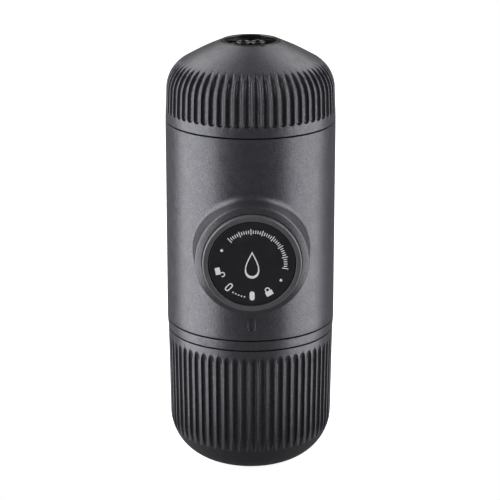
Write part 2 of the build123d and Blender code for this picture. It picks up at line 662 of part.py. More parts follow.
valve_spring_z = ball_rise + BALL_R
inlet_valve_spring = coil((0, column_y, inlet_valve_z + valve_spring_z), (0, 0, 1),
                          VALVE_L - valve_spring_z, VALVE_SPRING_R, VALVE_WIRE_R, VALVE_TURNS)
outlet_valve_spring = coil((0, column_y, outlet_valve_z + valve_spring_z), (0, 0, 1),
                           VALVE_L - valve_spring_z, VALVE_SPRING_R, VALVE_WIRE_R, VALVE_TURNS)

with BuildPart() as intake_strainer:
    extrude(annulus(Plane.XY.offset(lower_deck_z), strainer_r, PASSAGE_R, (0, column_y)),
            amount=-STRAINER_T)
    extrude(annulus(Plane.XY.offset(lower_deck_z), STRAINER_STEM_R, PASSAGE_R, (0, column_y)),
            amount=DECK_T)

with BuildPart() as air_vent_valve:
    extrude(disc(Plane.XY.offset(lower_deck_z), VENT_R, (VENT_X, VENT_Y)), amount=-VENT_T)
    extrude(disc(Plane.XY.offset(lower_deck_z), VENT_STEM_R, (VENT_X, VENT_Y)), amount=DECK_T)
    extrude(disc(Plane.XY.offset(lower_deck_top), VENT_KNOB_R, (VENT_X, VENT_Y)), amount=VENT_KNOB_T)

# ================================================================================== brewing end
shower_z = upper_deck_top + SHOWER_BOSS_H
with BuildPart() as shower_screen:
    extrude(disc(Plane.XY.offset(shower_z), shower_r), amount=SHOWER_T)
    with BuildSketch(Plane.XY.offset(shower_z)):
        Circle(SCREW_R + FIT)
        for ring_r, holes in SHOWER_RINGS:
            with PolarLocations(ring_r, holes):
                Circle(SHOWER_HOLE_R)
    extrude(amount=SHOWER_T, mode=Mode.SUBTRACT)

shower_screw = screws(Plane.XY.offset(shower_z + SHOWER_T), [(0, 0)], SCREW_HEAD_R, SCREW_HEAD_H,
                      SCREW_R, SHOWER_SCREW_L)

with BuildPart() as brew_gasket:
    extrude(annulus(Plane.XY.offset(upper_deck_top), brew_gasket_r, brew_gasket_r - BREW_GASKET_W),
            amount=BREW_GASKET_H)

with BuildPart() as filter_basket:
    revolve(outline(Plane.XZ,
                    (basket_r - BASKET_WALL, basket_z), (basket_flange_r, basket_z),
                    (basket_flange_r, core_z), (basket_r, core_z), (basket_r, basket_top),
                    (0, basket_top), (0, basket_top - BASKET_WALL),
                    (basket_r - BASKET_WALL, basket_top - BASKET_WALL)), axis=Axis.Z)
    with BuildSketch(Plane.XY.offset(basket_top)):
        for ring_r, holes in SHOWER_RINGS:
            with PolarLocations(ring_r, holes):
                Circle(SHOWER_HOLE_R)
    extrude(amount=-BASKET_WALL, mode=Mode.SUBTRACT)

with BuildPart() as filter_screen:
    extrude(disc(Plane.XY.offset(basket_top - BASKET_WALL), basket_r - BASKET_WALL - RUN), amount=-SCREEN_T)

with BuildPart() as outlet_seal:
    extrude(annulus(Plane.XY.offset(upper_deck_top), skirt_r, neck_r + FIT), amount=OUTLET_SEAL_H)

# ================================================================================== outlet head
with BuildPart() as outlet_shell:
    revolve(dome(BODY_R, head_z, 0), axis=Axis.Z)
    chamfer(outlet_shell.edges().group_by(Axis.Z)[0], EDGE)
    revolve(dome(head_inner_r, head_z, SHELL_WALL), axis=Axis.Z, mode=Mode.SUBTRACT)
    extrude(disc(Plane.XY.offset(head_top), OUTLET_HOLE_R), amount=spout_top - head_top, mode=Mode.SUBTRACT)
    head_flute = flute((BODY_R - head_taper * HEAD_FLUTE_START, head_z + HEAD_FLUTE_START),
                       (head_shoulder_r, shoulder_z), HEAD_SHOULDER, 90 - HEAD_CONE_SLOPE,
                       HEAD_FLUTE_WRAP, 1)
    with PolarLocations(0, FLUTES, start_angle=HEAD_FLUTE_TURN):
        add(head_flute, mode=Mode.SUBTRACT)

with BuildPart() as outlet_core:
    revolve(outline(Plane.XZ,
                    (core_inner_r, core_z), (core_outer_r, core_z), (core_outer_r, web_z),
                    (skirt_inner_r, web_z), (skirt_inner_r, skirt_z), (skirt_r, skirt_z),
                    (skirt_r, web_z + CORE_WEB_T), (core_outer_r, web_z + CORE_WEB_T),
                    (core_outer_r, core_top), (SPOUT_R + SPOUT_WALL, core_top),
                    (SPOUT_R + SPOUT_WALL, spout_top), (SPOUT_R, spout_top),
                    (SPOUT_R, core_plate_z), (core_inner_r, core_plate_z)), axis=Axis.Z)

with BuildPart() as nozzle_insert:
    nozzle_r = OUTLET_HOLE_R - RUN
    nozzle_top = head_top - NOZZLE_SUNK
    floor_top = spout_top + NOZZLE_FLOOR_T
    hub_top = nozzle_top - NOZZLE_HUB_SUNK
    flange_z = head_top - NOZZLE_FLANGE_DROP
    revolve(outline(Plane.XZ,
                    (SPOUT_R, spout_top), (nozzle_r, spout_top), (nozzle_r, flange_z - NOZZLE_FLANGE_T),
                    (NOZZLE_FLANGE_R, flange_z - NOZZLE_FLANGE_T), (NOZZLE_FLANGE_R, flange_z),
                    (nozzle_r, flange_z), (nozzle_r, nozzle_top), (nozzle_r - NOZZLE_RIM_W, nozzle_top),
                    (nozzle_r - NOZZLE_RIM_W, floor_top), (NOZZLE_HUB_R, floor_top),
                    (NOZZLE_HUB_R, hub_top), (0, hub_top), (0, hub_top - NOZZLE_HUB_TOP_T),
                    (SPOUT_R, hub_top - NOZZLE_HUB_TOP_T)), axis=Axis.Z)
    extrude(disc(Plane.XY.offset(hub_top), NOZZLE_EYE_R, (-NOZZLE_EYE_X, 0), (NOZZLE_EYE_X, 0)),
            amount=-NOZZLE_HUB_TOP_T, mode=Mode.SUBTRACT)
    with BuildSketch(Plane.XY.offset(floor_top)):
        with PolarLocations((NOZZLE_HUB_R + nozzle_r) / 2 - NOZZLE_RIM_W / 2, NOZZLE_VANES):
            Rectangle(nozzle_r - NOZZLE_HUB_R, NOZZLE_VANE_T)
    extrude(amount=nozzle_top - NOZZLE_VANE_SUNK - floor_top)

# ================================================================================== written files
pieces = {
    "cup": cup, "water_tank": water_tank, "cup_grip_ring": cup_grip_ring, "tank_collar": tank_collar,
    "tank_gasket": tank_gasket, "body_casing": body_casing, "guide_sleeve": guide_sleeve,
    "sleeve_screws": sleeve_screws, "tank_socket": tank_socket, "brew_head": brew_head,
    "lower_frame_screws": lower_frame_screws, "upper_frame_screws": upper_frame_screws,
    "pump_block": pump_block, "pump_cylinder": pump_cylinder, "rod_guide": rod_guide,
    "return_spring": return_spring, "piston_rod": piston_rod, "piston_head": piston_head,
    "piston_seal": piston_seal, "thrust_washer": thrust_washer, "pivot_screw": pivot_screw,
    "knob_cap": knob_cap, "knob_plate": knob_plate, "piston_barrel": piston_barrel,
    "inlet_valve_seat": inlet_valve_seat, "outlet_valve_plug": outlet_valve_plug,
    "inlet_valve_ball": inlet_valve_ball, "outlet_valve_ball": outlet_valve_ball,
    "inlet_valve_spring": inlet_valve_spring, "outlet_valve_spring": outlet_valve_spring,
    "intake_strainer": intake_strainer, "air_vent_valve": air_vent_valve,
    "shower_screen": shower_screen, "shower_screw": shower_screw, "brew_gasket": brew_gasket,
    "filter_basket": filter_basket, "filter_screen": filter_screen, "outlet_seal": outlet_seal,
    "outlet_shell": outlet_shell, "outlet_core": outlet_core, "nozzle_insert": nozzle_insert,
}

os.makedirs("parts", exist_ok=True)
for name, piece in pieces.items():
    piece.part.label = name
    export_step(piece.part, f"parts/{name}.step")
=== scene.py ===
"""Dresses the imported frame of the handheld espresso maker: its shells, tank, knob, nozzle and finishes.

Sizes are in millimetres while a piece is modelled, and a finished mesh is scaled to metres.
"""

import logging
import math
from dataclasses import dataclass
from enum import Enum
from functools import cache
from typing import Callable, Iterable, Sequence

import bmesh
import bpy
from mathutils import Matrix, Vector


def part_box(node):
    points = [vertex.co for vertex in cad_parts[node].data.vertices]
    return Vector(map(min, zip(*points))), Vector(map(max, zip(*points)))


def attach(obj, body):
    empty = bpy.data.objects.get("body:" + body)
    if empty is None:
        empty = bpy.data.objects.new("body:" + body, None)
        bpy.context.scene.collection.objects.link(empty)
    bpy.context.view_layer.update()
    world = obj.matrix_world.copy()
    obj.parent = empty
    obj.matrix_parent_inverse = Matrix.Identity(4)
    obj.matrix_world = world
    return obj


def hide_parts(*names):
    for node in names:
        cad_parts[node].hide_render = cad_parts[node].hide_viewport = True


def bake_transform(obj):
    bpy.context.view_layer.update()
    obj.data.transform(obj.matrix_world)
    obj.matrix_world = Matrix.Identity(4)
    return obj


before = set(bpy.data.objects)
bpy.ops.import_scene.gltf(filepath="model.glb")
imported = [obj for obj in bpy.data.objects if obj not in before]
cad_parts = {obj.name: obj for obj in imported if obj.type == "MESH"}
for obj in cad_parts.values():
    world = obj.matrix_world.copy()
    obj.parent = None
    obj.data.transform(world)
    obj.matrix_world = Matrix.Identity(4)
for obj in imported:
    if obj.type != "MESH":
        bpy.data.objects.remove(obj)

LOG = logging.getLogger("espresso_maker")
MM = 0.001
TAU = 2 * math.pi
WELD = 0.002             # vertices closer than this become one
FLUTED_CREASE = 75.0     # degrees: a fluted shell's walls stay smooth, its edges sharp
EASING = (0.22, 0.42, 0.6, 0.76, 0.89)   # shares of a way whose steps get shorter towards its end
ROW_GAP = 0.05           # rows of a shell lie further apart than this
X, Y, Z = (Vector(axis).freeze() for axis in ((1, 0, 0), (0, 1, 0), (0, 0, 1)))
NOISE_RANGE = (0.3, 0.7)  # between these a noise has nearly all of its values
NODE_W = 220             # from one node of a sheet to the next

Pair = tuple[float, float]
Point = Pair
Triple = tuple[float, float, float]
Ring = Sequence[Vector]
Mesh = bmesh.types.BMesh
Vert = bmesh.types.BMVert
Edge = bmesh.types.BMEdge
Face = bmesh.types.BMFace
Node = bpy.types.Node


class Body(Enum):
    """The bodies that a piece can ride on."""

    CUP = "cup_base"
    TANK = "tank_unit"
    MAIN = "main_body"
    PISTON = "piston"
    KNOB = "knob"
    INLET_BALL = "inlet_ball"
    OUTLET_BALL = "outlet_ball"
    HEAD = "outlet_head"
    BASKET = "basket"


class Slot(Enum):
    """The record's material slots."""

    SHELL = "shell_grey"
    KNOB = "knob_grey"
    PLATE = "knob_black"
    GUIDE = "guide_black"
    NOZZLE = "nozzle_black"
    TANK = "tank_smoke"
    FRAME = "frame_plastic"
    RUBBER = "seal_rubber"
    ROD = "rod_steel"
    SCREW = "screw_steel"
    SPRING = "spring_steel"
    BALL = "ball_steel"
    FILTER = "filter_steel"


# ---------------------------------------------------------------------------------- finishes
class NodeSheet:
    """A node tree, laid out as it is filled."""

    def __init__(self, tree: bpy.types.NodeTree) -> None:
        """Takes over a tree."""
        self.tree = tree

    def add(self, kind: str, **settings: object) -> Node:
        """Adds a node and sets its properties, or its inputs by name.

        Args:
            kind: Blender's type name of the node.
            settings: Properties of the node, or values of its inputs with _ for a space.
        Returns:
            The new node.
        """
        node = self.tree.nodes.new(kind)
        node.location = (-NODE_W * len(self.tree.nodes), 0)
        for key, value in settings.items():
            if hasattr(node, key):
                setattr(node, key, value)
            else:
                node.inputs[key.replace("_", " ")].default_value = value
        return node

    def link(self, source: Node, out: str | int, target: Node, into: str | int) -> None:
        """Joins an output of one node to an input of another."""
        self.tree.links.new(source.outputs[out], target.inputs[into])

    def noise(self, size: float, detail: float = 2.0, stretch: Triple = (1, 1, 1)) -> Node:
        """Adds noise on the piece's own coordinates.

        Args:
            size: Millimetres from one grain to the next.
            detail: Octaves of the noise.
            stretch: How many times longer than size the grains are along each axis.
        Returns:
            The noise node.
        """
        place = self.add("ShaderNodeTexCoord")
        mapping = self.add("ShaderNodeMapping")
        mapping.inputs["Scale"].default_value = [1 / (size * MM * s) for s in stretch]
        noise = self.add("ShaderNodeTexNoise", Scale=1.0, Detail=detail)
        self.link(place, "Object", mapping, "Vector")
        self.link(mapping, "Vector", noise, "Vector")
        return noise

    def spread(self, source: Node, low: float, high: float) -> Node:
        """Maps a noise's middle range to low and high.

        Args:
            source: The noise.
            low: The value at the lower end of that range.
            high: The value at its upper end.
        Returns:
            The node that maps it.
        """
        node = self.add("ShaderNodeMapRange", From_Min=NOISE_RANGE[0], From_Max=NOISE_RANGE[1],
                        To_Min=low, To_Max=high)
        self.link(source, 0, node, "Value")
        return node


class MaterialSheet(NodeSheet):
    """A material's nodes, which end in a shader and an output."""

    def __init__(self, name: str) -> None:
        """Starts a material of its own.

        Args:
            name: The material's name.
        """
        self.material = bpy.data.materials.new(name)
        self.material.use_nodes = True
        super().__init__(self.material.node_tree)
        self.tree.nodes.clear()
        self.output = self.add("ShaderNodeOutputMaterial")
        self.shader = self.add("ShaderNodeBsdfPrincipled")
        self.link(self.shader, "BSDF", self.output, "Surface")

    def scaled(self, colour: Triple, source: Node) -> Node:
        """A colour that is multiplied by a value.

        Args:
            colour: The colour.
            source: The node whose output it is multiplied by.
        Returns:
            The node that multiplies it.
        """
        node = self.add("ShaderNodeVectorMath", operation="SCALE")
        node.inputs[0].default_value = colour
        self.link(source, 0, node, "Scale")
        return node


@dataclass(frozen=True)
class Finish:
    """A surface: its colour and gloss, with fine relief and slight unevenness of both."""

    name: str
    slot: Slot
    colour: Triple
    roughness: float
    grain: float = 0.4           # mm from one grain to the next
    relief: float = 0.01         # mm of the grain's height
    mottle: float = 0.08         # share by which the colour varies
    patch: float = 6.0           # mm from one patch of colour to the next
    unevenness: float = 0.05     # by which the roughness varies
    specular: float = 0.5
    metallic: float = 0.0
    sheen: Triple = (1.0, 1.0, 1.0)
    speckle: float = 0.0         # share by which the sheen varies from grain to grain
    stretch: Triple = (1, 1, 1)

    def material(self) -> bpy.types.Material:
        """The finish's material, made when it is first asked for.

        Returns:
            The material.
        """
        made = bpy.data.materials.get(self.name)
        if made is not None:
            return made
        sheet = MaterialSheet(self.name)
        sheet.shader.inputs["Metallic"].default_value = self.metallic
        sheet.shader.inputs["Specular IOR Level"].default_value = self.specular
        self.tint(sheet)
        self.gloss(sheet)
        self.texture(sheet)
        return sheet.material

    def tint(self, sheet: MaterialSheet) -> None:
        """Gives the shader its colour, a little lighter and darker in patches.

        Args:
            sheet: The material's nodes.
        """
        patches = sheet.spread(sheet.noise(self.patch, 3.0), 1 - self.mottle, 1 + self.mottle)
        sheet.shader.inputs["Specular Tint"].default_value = (*self.sheen, 1)
        sheet.link(sheet.scaled(self.colour, patches), 0, sheet.shader, "Base Color")
        if self.speckle:
            grains = sheet.spread(sheet.noise(self.grain, 1.0), 1 - self.speckle, 1 + self.speckle)
            sheet.link(sheet.scaled(self.sheen, grains), 0, sheet.shader, "Specular Tint")

    def gloss(self, sheet: MaterialSheet) -> None:
        """Gives the shader its roughness, slightly uneven."""
        low, high = self.roughness - self.unevenness, self.roughness + self.unevenness
        sheet.link(sheet.spread(sheet.noise(self.patch / 2, 2.0), low, high), 0, sheet.shader, "Roughness")

    def texture(self, sheet: MaterialSheet) -> None:
        """Gives the shader its fine relief."""
        bump = sheet.add("ShaderNodeBump", Strength=1.0, Distance=self.relief * MM)
        sheet.link(sheet.noise(self.grain, 2.0, self.stretch), 0, bump, "Height")
        sheet.link(bump, 0, sheet.shader, "Normal")


@dataclass(frozen=True)
class SmokedPlastic(Finish):
    """Dark see-through plastic."""

    transmission: float = 0.9
    ior: float = 1.5

    def tint(self, sheet: MaterialSheet) -> None:
        """Lets light through, tinted by the colour."""
        super().tint(sheet)
        sheet.shader.inputs["Transmission Weight"].default_value = self.transmission
        sheet.shader.inputs["IOR"].default_value = self.ior


SHELL = Finish("shell_soft_touch", Slot.SHELL, (0.025, 0.0249, 0.0292), 0.36, grain=0.5, relief=0.05,
               mottle=0.04, specular=0.75, sheen=(0.91, 0.915, 1.0), speckle=0.3)
KNOB_SATIN = Finish("knob_satin", Slot.KNOB, (0.078, 0.078, 0.085), 0.34, grain=0.3, relief=0.006)
PLATE_BLACK = Finish("plate_black", Slot.PLATE, (0.011, 0.0112, 0.0132), 0.42, grain=0.25, relief=0.005,
                     specular=0.35)
LEGEND_WHITE = Finish("legend_print", Slot.PLATE, (0.78, 0.78, 0.79), 0.5, grain=0.2, relief=0.002,
                      mottle=0.04)
LEVEL_WHITE = Finish("level_print", Slot.TANK, (0.72, 0.72, 0.73), 0.5, grain=0.2, relief=0.002,
                     mottle=0.04)
GUIDE_BLACK = Finish("guide_black", Slot.GUIDE, (0.022, 0.022, 0.024), 0.45, grain=0.5, relief=0.006)
NOZZLE_GLOSS = Finish("nozzle_gloss", Slot.NOZZLE, (0.012, 0.012, 0.013), 0.14, grain=0.8, relief=0.002,
                      unevenness=0.03)
TANK_SMOKE = SmokedPlastic("tank_smoke", Slot.TANK, (0.20, 0.20, 0.21), 0.12, grain=2.0, relief=0.004,
                           unevenness=0.03)
FRAME_PLASTIC = Finish("frame_plastic", Slot.FRAME, (0.035, 0.035, 0.038), 0.5, grain=0.6, relief=0.008)
RUBBER = Finish("seal_rubber", Slot.RUBBER, (0.028, 0.028, 0.028), 0.68, grain=0.25, relief=0.008)
ROD_STEEL = Finish("rod_steel", Slot.ROD, (0.56, 0.56, 0.57), 0.22, grain=0.12, relief=0.001, mottle=0.03,
                   metallic=1.0)
SCREW_STEEL = Finish("screw_steel", Slot.SCREW, (0.50, 0.50, 0.50), 0.30, grain=0.15, relief=0.002,
                     metallic=1.0)
SPRING_STEEL = Finish("spring_steel", Slot.SPRING, (0.48, 0.48, 0.47), 0.28, grain=0.2, relief=0.001,
                      metallic=1.0)
BALL_STEEL = Finish("ball_steel", Slot.BALL, (0.60, 0.60, 0.61), 0.10, grain=0.4, relief=0.0005, mottle=0.02,
                    unevenness=0.02, metallic=1.0)
FILTER_STEEL = Finish("filter_steel", Slot.FILTER, (0.58, 0.58, 0.58), 0.26, grain=0.15, relief=0.0015,
                      mottle=0.04, metallic=1.0, stretch=(1, 1, 6))


# ---------------------------------------------------------------------------------- modelling
@dataclass(frozen=True)
class Spindle:
    """A line that pieces are turned about: its origin, its way and where the turning starts."""

    origin: Vector = Vector()
    along: Vector = Z
    start: Vector = X

    def spoke(self, angle: float) -> Vector:
        """The way out from the spindle at an angle about it."""
        return self.start * math.cos(angle) + self.along.cross(self.start) * math.sin(angle)

    def at(self, radius: float, height: float, angle: float) -> Vector:
        """The place at a radius, a height along the spindle and an angle about it."""
        return self.origin + self.spoke(angle) * radius + self.along * height


UPRIGHT = Spindle()


def added(name: str, data: bpy.types.ID) -> bpy.types.Object:
    """Puts a new object into the scene."""
    made = bpy.data.objects.new(name, data)
    bpy.context.scene.collection.objects.link(made)
    return made


@cache
def span(node: str) -> tuple[Vector, Vector]:
    """Lowest and highest corner of a node, in millimetres."""
    low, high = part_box(node)
    return low / MM, high / MM


def centre_of(node: str) -> Vector:
    """The middle of a node's box, in millimetres."""
    low, high = span(node)
    return (low + high) / 2


def rounded(*corners: tuple[float, ...], step: float = 8.0) -> list[Point]:
    """Walks through corners and rounds those that have a radius.

    Args:
        corners: (distance from the axis, height) of each corner, and its rounding where it has one.
        step: Degrees of an arc from one point to the next.
    Returns:
        The points of the walk.
    """
    points = [corners[0][:2]]
    for before, here, after in zip(corners, corners[1:], corners[2:]):
        corner = Vector(here[:2])
        back = (Vector(before[:2]) - corner).normalized()
        ahead = (Vector(after[:2]) - corner).normalized()
        turn = math.pi - back.angle(ahead)
        radius = here[2] if len(here) > 2 else 0.0
        if not radius:
            points.append(here[:2])
            continue
        centre = corner + (back + ahead).normalized() * (radius / math.cos(turn / 2))
        spoke = corner + back * radius * math.tan(turn / 2) - centre
        side = math.copysign(1.0, back.y * ahead.x - back.x * ahead.y)
        steps = max(2, round(math.degrees(turn) / step))
        for k in range(steps + 1):
            angle = side * turn * k / steps
            across = Vector((-spoke.y, spoke.x))
            points.append(tuple(centre + spoke * math.cos(angle) + across * math.sin(angle)))
    points.append(corners[-1][:2])
    return points


def lathe(bm: Mesh, points: Sequence[Point], steps: int, spindle: Spindle = UPRIGHT) -> None:
    """Turns an outline into a solid of revolution.

    Args:
        bm: The mesh that gets the solid.
        points: (radius, height) of each point. An outline that starts off the axis ends where it starts.
        steps: Faces round the solid.
        spindle: What it is turned about.
    """
    verts = [bm.verts.new(spindle.at(radius, height, 0)) for radius, height in points]
    edges = [bm.edges.new(pair) for pair in zip(verts, verts[1:])]
    bmesh.ops.spin(bm, geom=verts + edges, cent=spindle.origin, axis=spindle.along, dvec=(0, 0, 0),
                   angle=TAU, steps=steps, use_merge=True, use_normal_flip=False, use_duplicate=False)
    weld(bm)


def lathed(points: Sequence[Point], steps: int, spindle: Spindle = UPRIGHT) -> Mesh:
    """A new mesh with one solid of revolution.

    Args:
        points: The outline, as for lathe.
        steps: Faces round the solid.
        spindle: What it is turned about.
    Returns:
        The mesh.
    """
    bm = bmesh.new()
    lathe(bm, points, steps, spindle)
    return bm


def weld(bm: Mesh) -> None:
    """Merges vertices that share a place."""
    bmesh.ops.remove_doubles(bm, verts=bm.verts, dist=WELD)


def extrude_ring(bm: Mesh, edges: Iterable[Edge], place: Callable[[Vert], Vector]) -> list[Edge]:
    """Extrudes a loop or run of edges once and puts each new vertex in its place.

    Args:
        bm: The mesh.
        edges: The edges to extrude.
        place: Gives a new vertex its place. The vertex has the layers of the one it came from.
    Returns:
        The new edges that run along the extrusion's end.
    """
    made = bmesh.ops.extrude_edge_only(bm, edges=list(edges))["geom"]
    verts = {item for item in made if isinstance(item, Vert)}
    for vert in verts:
        vert.co = place(vert)
    return [item for item in made if isinstance(item, Edge) and set(item.verts) <= verts]


def tube(bm: Mesh, rings: Sequence[Ring], capped: bool = True) -> None:
    """Joins rings of as many points each into a skin.

    Args:
        bm: The mesh that gets the skin.
        rings: The rings in order.
        capped: Whether the first and the last ring are closed with a face.
    """
    order = bm.verts.layers.int.get("order") or bm.verts.layers.int.new("order")
    verts = [bm.verts.new(point) for point in rings[0]]
    for number, vert in enumerate(verts):
        vert[order] = number
    edges = [bm.edges.new((vert, verts[number - 1])) for number, vert in enumerate(verts)]
    first = edges
    for ring in rings[1:]:
        edges = extrude_ring(bm, edges, lambda vert: ring[vert[order]])
    if capped:
        bmesh.ops.contextual_create(bm, geom=first)
        bmesh.ops.contextual_create(bm, geom=edges)


def plate(bm: Mesh, loops: Sequence[Ring], thickness: Vector) -> None:
    """Makes a flat plate with holes.

    Args:
        bm: The mesh that gets the plate.
        loops: The plate's outline and its holes, all in one plane.
        thickness: The way from this face of the plate to the other.
    """
    edges = []
    for loop in loops:
        verts = [bm.verts.new(point) for point in loop]
        edges += [bm.edges.new((vert, verts[number - 1])) for number, vert in enumerate(verts)]
    faces = [item for item in bmesh.ops.triangle_fill(bm, edges=edges, use_beauty=True)["geom"]
             if isinstance(item, Face)]
    made = bmesh.ops.extrude_face_region(bm, geom=faces, use_keep_orig=True)["geom"]
    bmesh.ops.translate(bm, vec=thickness, verts=[v for v in made if isinstance(v, Vert)])


def circle(centre: Vector, radius: float, sides: int) -> list[Vector]:
    """Points round a level circle."""
    spokes = (UPRIGHT.spoke(TAU * k / sides) for k in range(sides))
    return [centre + spoke * radius for spoke in spokes]


@dataclass(frozen=True)
class Piece:
    """How a finished mesh joins the object: its name, body and finish, and the nodes it stands for."""

    name: str
    body: Body
    finish: Finish
    nodes: tuple[str, ...] = ()
    crease: float = 40.0         # degrees between faces from which an edge stays sharp

    def build(self, bm: Mesh) -> bpy.types.Object:
        """Turns a mesh in millimetres into a finished piece.

        Args:
            bm: The mesh, which is used up.
        Returns:
            The piece.
        """
        piece = self.shape(bm)
        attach(piece, self.body.value)
        return piece

    def shape(self, bm: Mesh) -> bpy.types.Object:
        """The piece without its body.

        Args:
            bm: The mesh, which is used up.
        Returns:
            The piece, which rides on no body.
        """
        bmesh.ops.recalc_face_normals(bm, faces=bm.faces)
        bmesh.ops.scale(bm, vec=(MM, MM, MM), verts=bm.verts)
        mesh = bpy.data.meshes.new(self.name)
        bm.to_mesh(mesh)
        bm.free()
        mesh.shade_smooth()
        mesh.set_sharp_from_angle(angle=math.radians(self.crease))
        mesh.materials.append(self.finish.material())
        piece = added(self.name, mesh)
        if self.nodes:
            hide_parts(*self.nodes)
        LOG.info("%s: %d faces", self.name, len(mesh.polygons))
        return piece


def dress(node: str, finish: Finish) -> None:
    """Gives a node of the frame its finish."""
    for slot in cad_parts[node].material_slots:
        slot.material = finish.material()
    LOG.info("%s: %s", node, finish.name)


# ---------------------------------------------------------------------------------- fluted shells
@dataclass(frozen=True)
class FluteEnd:
    """How a flute runs out: where it starts to, over what length, and how fast it narrows and rises."""

    start: float                 # along the skin
    length: float                # along the skin, less than nothing where the flute runs out backwards
    narrowing: float = 0.5
    rising: float = 0.5
    softening: float = 0.0       # how much rounder the section gets

    def passed(self, along: float) -> float:
        """Share of the end that lies before a place."""
        return min(max((along - self.start) / self.length, 0.0), 1.0)

    def rows(self) -> list[float]:
        """Places along the skin that the end needs."""
        return [self.start + self.length * share for share in (0.0, *EASING, 0.96, 1.0)]


@dataclass(frozen=True)
class Flutes:
    """A ring of flutes with a rounded floor that run along a wall and over its shoulder."""

    ends: tuple[FluteEnd, FluteEnd]
    turn: float                  # degrees from +X to the middle of a flute
    count: int = 60
    half_w: float = 1.26
    sink: float = 1.35
    lip: float = 0.24            # rounding from a flute's wall into the ridge beside it
    fullness: float = 3.0        # 2 is a round section, and more is a squarer one
    least: float = 0.3           # share of its width that a flute's columns keep where it runs out
    floor_angles: tuple[int, ...] = (0, 18, 42, 64, 79)  # degrees from the floor's middle up the wall
    lip_angles: tuple[int, ...] = (12, 48, 90)  # degrees over the lip to the ridge

    def section(self) -> list[Point]:
        """Half of a flute's section: (distance from its middle, depth) from the floor to the ridge.

        Returns:
            The points.
        """
        power = 2 / self.fullness
        points = [(self.half_w * math.sin(angle) ** power, self.sink * math.cos(angle) ** power)
                  for angle in map(math.radians, self.floor_angles)]
        for angle in map(math.radians, self.lip_angles):
            points.append((self.half_w + self.lip * (1 - math.cos(angle)), self.lip * (1 - math.sin(angle))))
        return points

    def columns(self, along: float | None, skin_r: float) -> list[Point]:
        """Each column from one ridge's middle to the next.

        Args:
            along: The place along the skin, or None for columns that are evenly spaced off the skin.
            skin_r: The skin's distance from the axis there.
        Returns:
            (angle from the flute's middle, depth) of each column.
        """
        section = self.section()
        if along is None:
            steps = 2 * len(section)
            return [((2 * k / steps - 1) * math.pi / self.count, 0.0) for k in range(steps + 1)]
        wide, deep, power = 1.0, 1.0, 1.0
        for end in self.ends:
            left = 1 - end.passed(along) ** 2
            wide *= left ** end.narrowing
            deep *= left ** end.rising
            power += end.softening * (1 - left ** end.rising)
        wide = max(wide, self.least) / skin_r
        half = [(aside * wide, self.sink * deep * (depth / self.sink) ** power) for aside, depth in section]
        half.append((math.pi / self.count, 0.0))
        return [(-angle, depth) for angle, depth in reversed(half[1:])] + half


@dataclass(frozen=True)
class FlutedShell:
    """A turned shell with flutes in its outer skin."""

    skin: list[Point]            # outer outline, from the edge that the flutes are measured from
    lining: list[Point]          # the rest of the outline
    flutes: Flutes
    rest: float                  # along the skin, from the last end to where the columns are evenly spaced

    def rows(self) -> list[tuple[Vector, Vector, float | None]]:
        """Each level of the shell: its point, its way out and its place along the skin.

        Returns:
            (point, way out, place along the skin) of each level, with no place where the skin is plain.
        """
        extra = sorted(row for end in self.flutes.ends for row in end.rows())
        points, along = [Vector(self.skin[0])], [0.0]
        for start, end in zip(self.skin, self.skin[1:]):
            a, b = Vector(start), Vector(end)
            length = (b - a).length
            begun = along[-1]
            stops = [s for s in extra if begun + ROW_GAP < s < begun + length - ROW_GAP] + [begun + length]
            points += [a.lerp(b, (s - begun) / length) for s in stops]
            along += stops
        until = self.flutes.ends[1].start + self.flutes.ends[1].length + self.rest
        rows = []
        for number, point in enumerate(points):
            near, far = points[max(number - 1, 0)], points[min(number + 1, len(points) - 1)]
            way = (far - near).normalized()
            out = Vector((way.y, -way.x))
            out = out if out.x > 0 or (out.x == 0 and out.y > 0) else -out
            fluted = along[number] if along[number] < until else None
            rows.append((point, out, fluted))
        return rows + [(Vector(point), Vector((0, 0)), None) for point in self.lining]

    def mesh(self) -> Mesh:
        """Models one flute from ridge to ridge, column by column, and repeats it round the shell.

        Returns:
            The shell.
        """
        bm = bmesh.new()
        order = bm.verts.layers.int.new("order")
        rows = self.rows()
        columns = [self.flutes.columns(along, max(point.x, 1.0)) for point, _, along in rows]
        middle = math.radians(self.flutes.turn)

        def place(row: int, column: int) -> Vector:
            """The place of a row's vertex in a column."""
            point, out, _ = rows[row]
            angle, depth = columns[row][column]
            sunk = point - out * depth
            return UPRIGHT.at(sunk.x, sunk.y, middle + angle)

        verts = [bm.verts.new(place(row, 0)) for row in range(len(rows))]
        for row, vert in enumerate(verts):
            vert[order] = row
        edges = [bm.edges.new(pair) for pair in zip(verts, verts[1:])]
        for column in range(1, len(columns[0])):
            edges = extrude_ring(bm, edges, lambda vert: place(vert[order], column))
        count = self.flutes.count
        bmesh.ops.spin(bm, geom=bm.verts[:] + bm.edges[:] + bm.faces[:], cent=UPRIGHT.origin, axis=Z,
                       dvec=(0, 0, 0), angle=TAU * (count - 1) / count, steps=count - 1, use_merge=False,
                       use_normal_flip=False, use_duplicate=True)
        weld(bm)
        bmesh.ops.dissolve_degenerate(bm, dist=WELD / 2, edges=bm.edges)
        return bm


def edge_lead(wall: float, edge: float) -> float:
    """By how much a place on a wall lies further along the skin than above the wall's edge."""
    return wall / 2 + edge * (math.pi / 2 - 2)


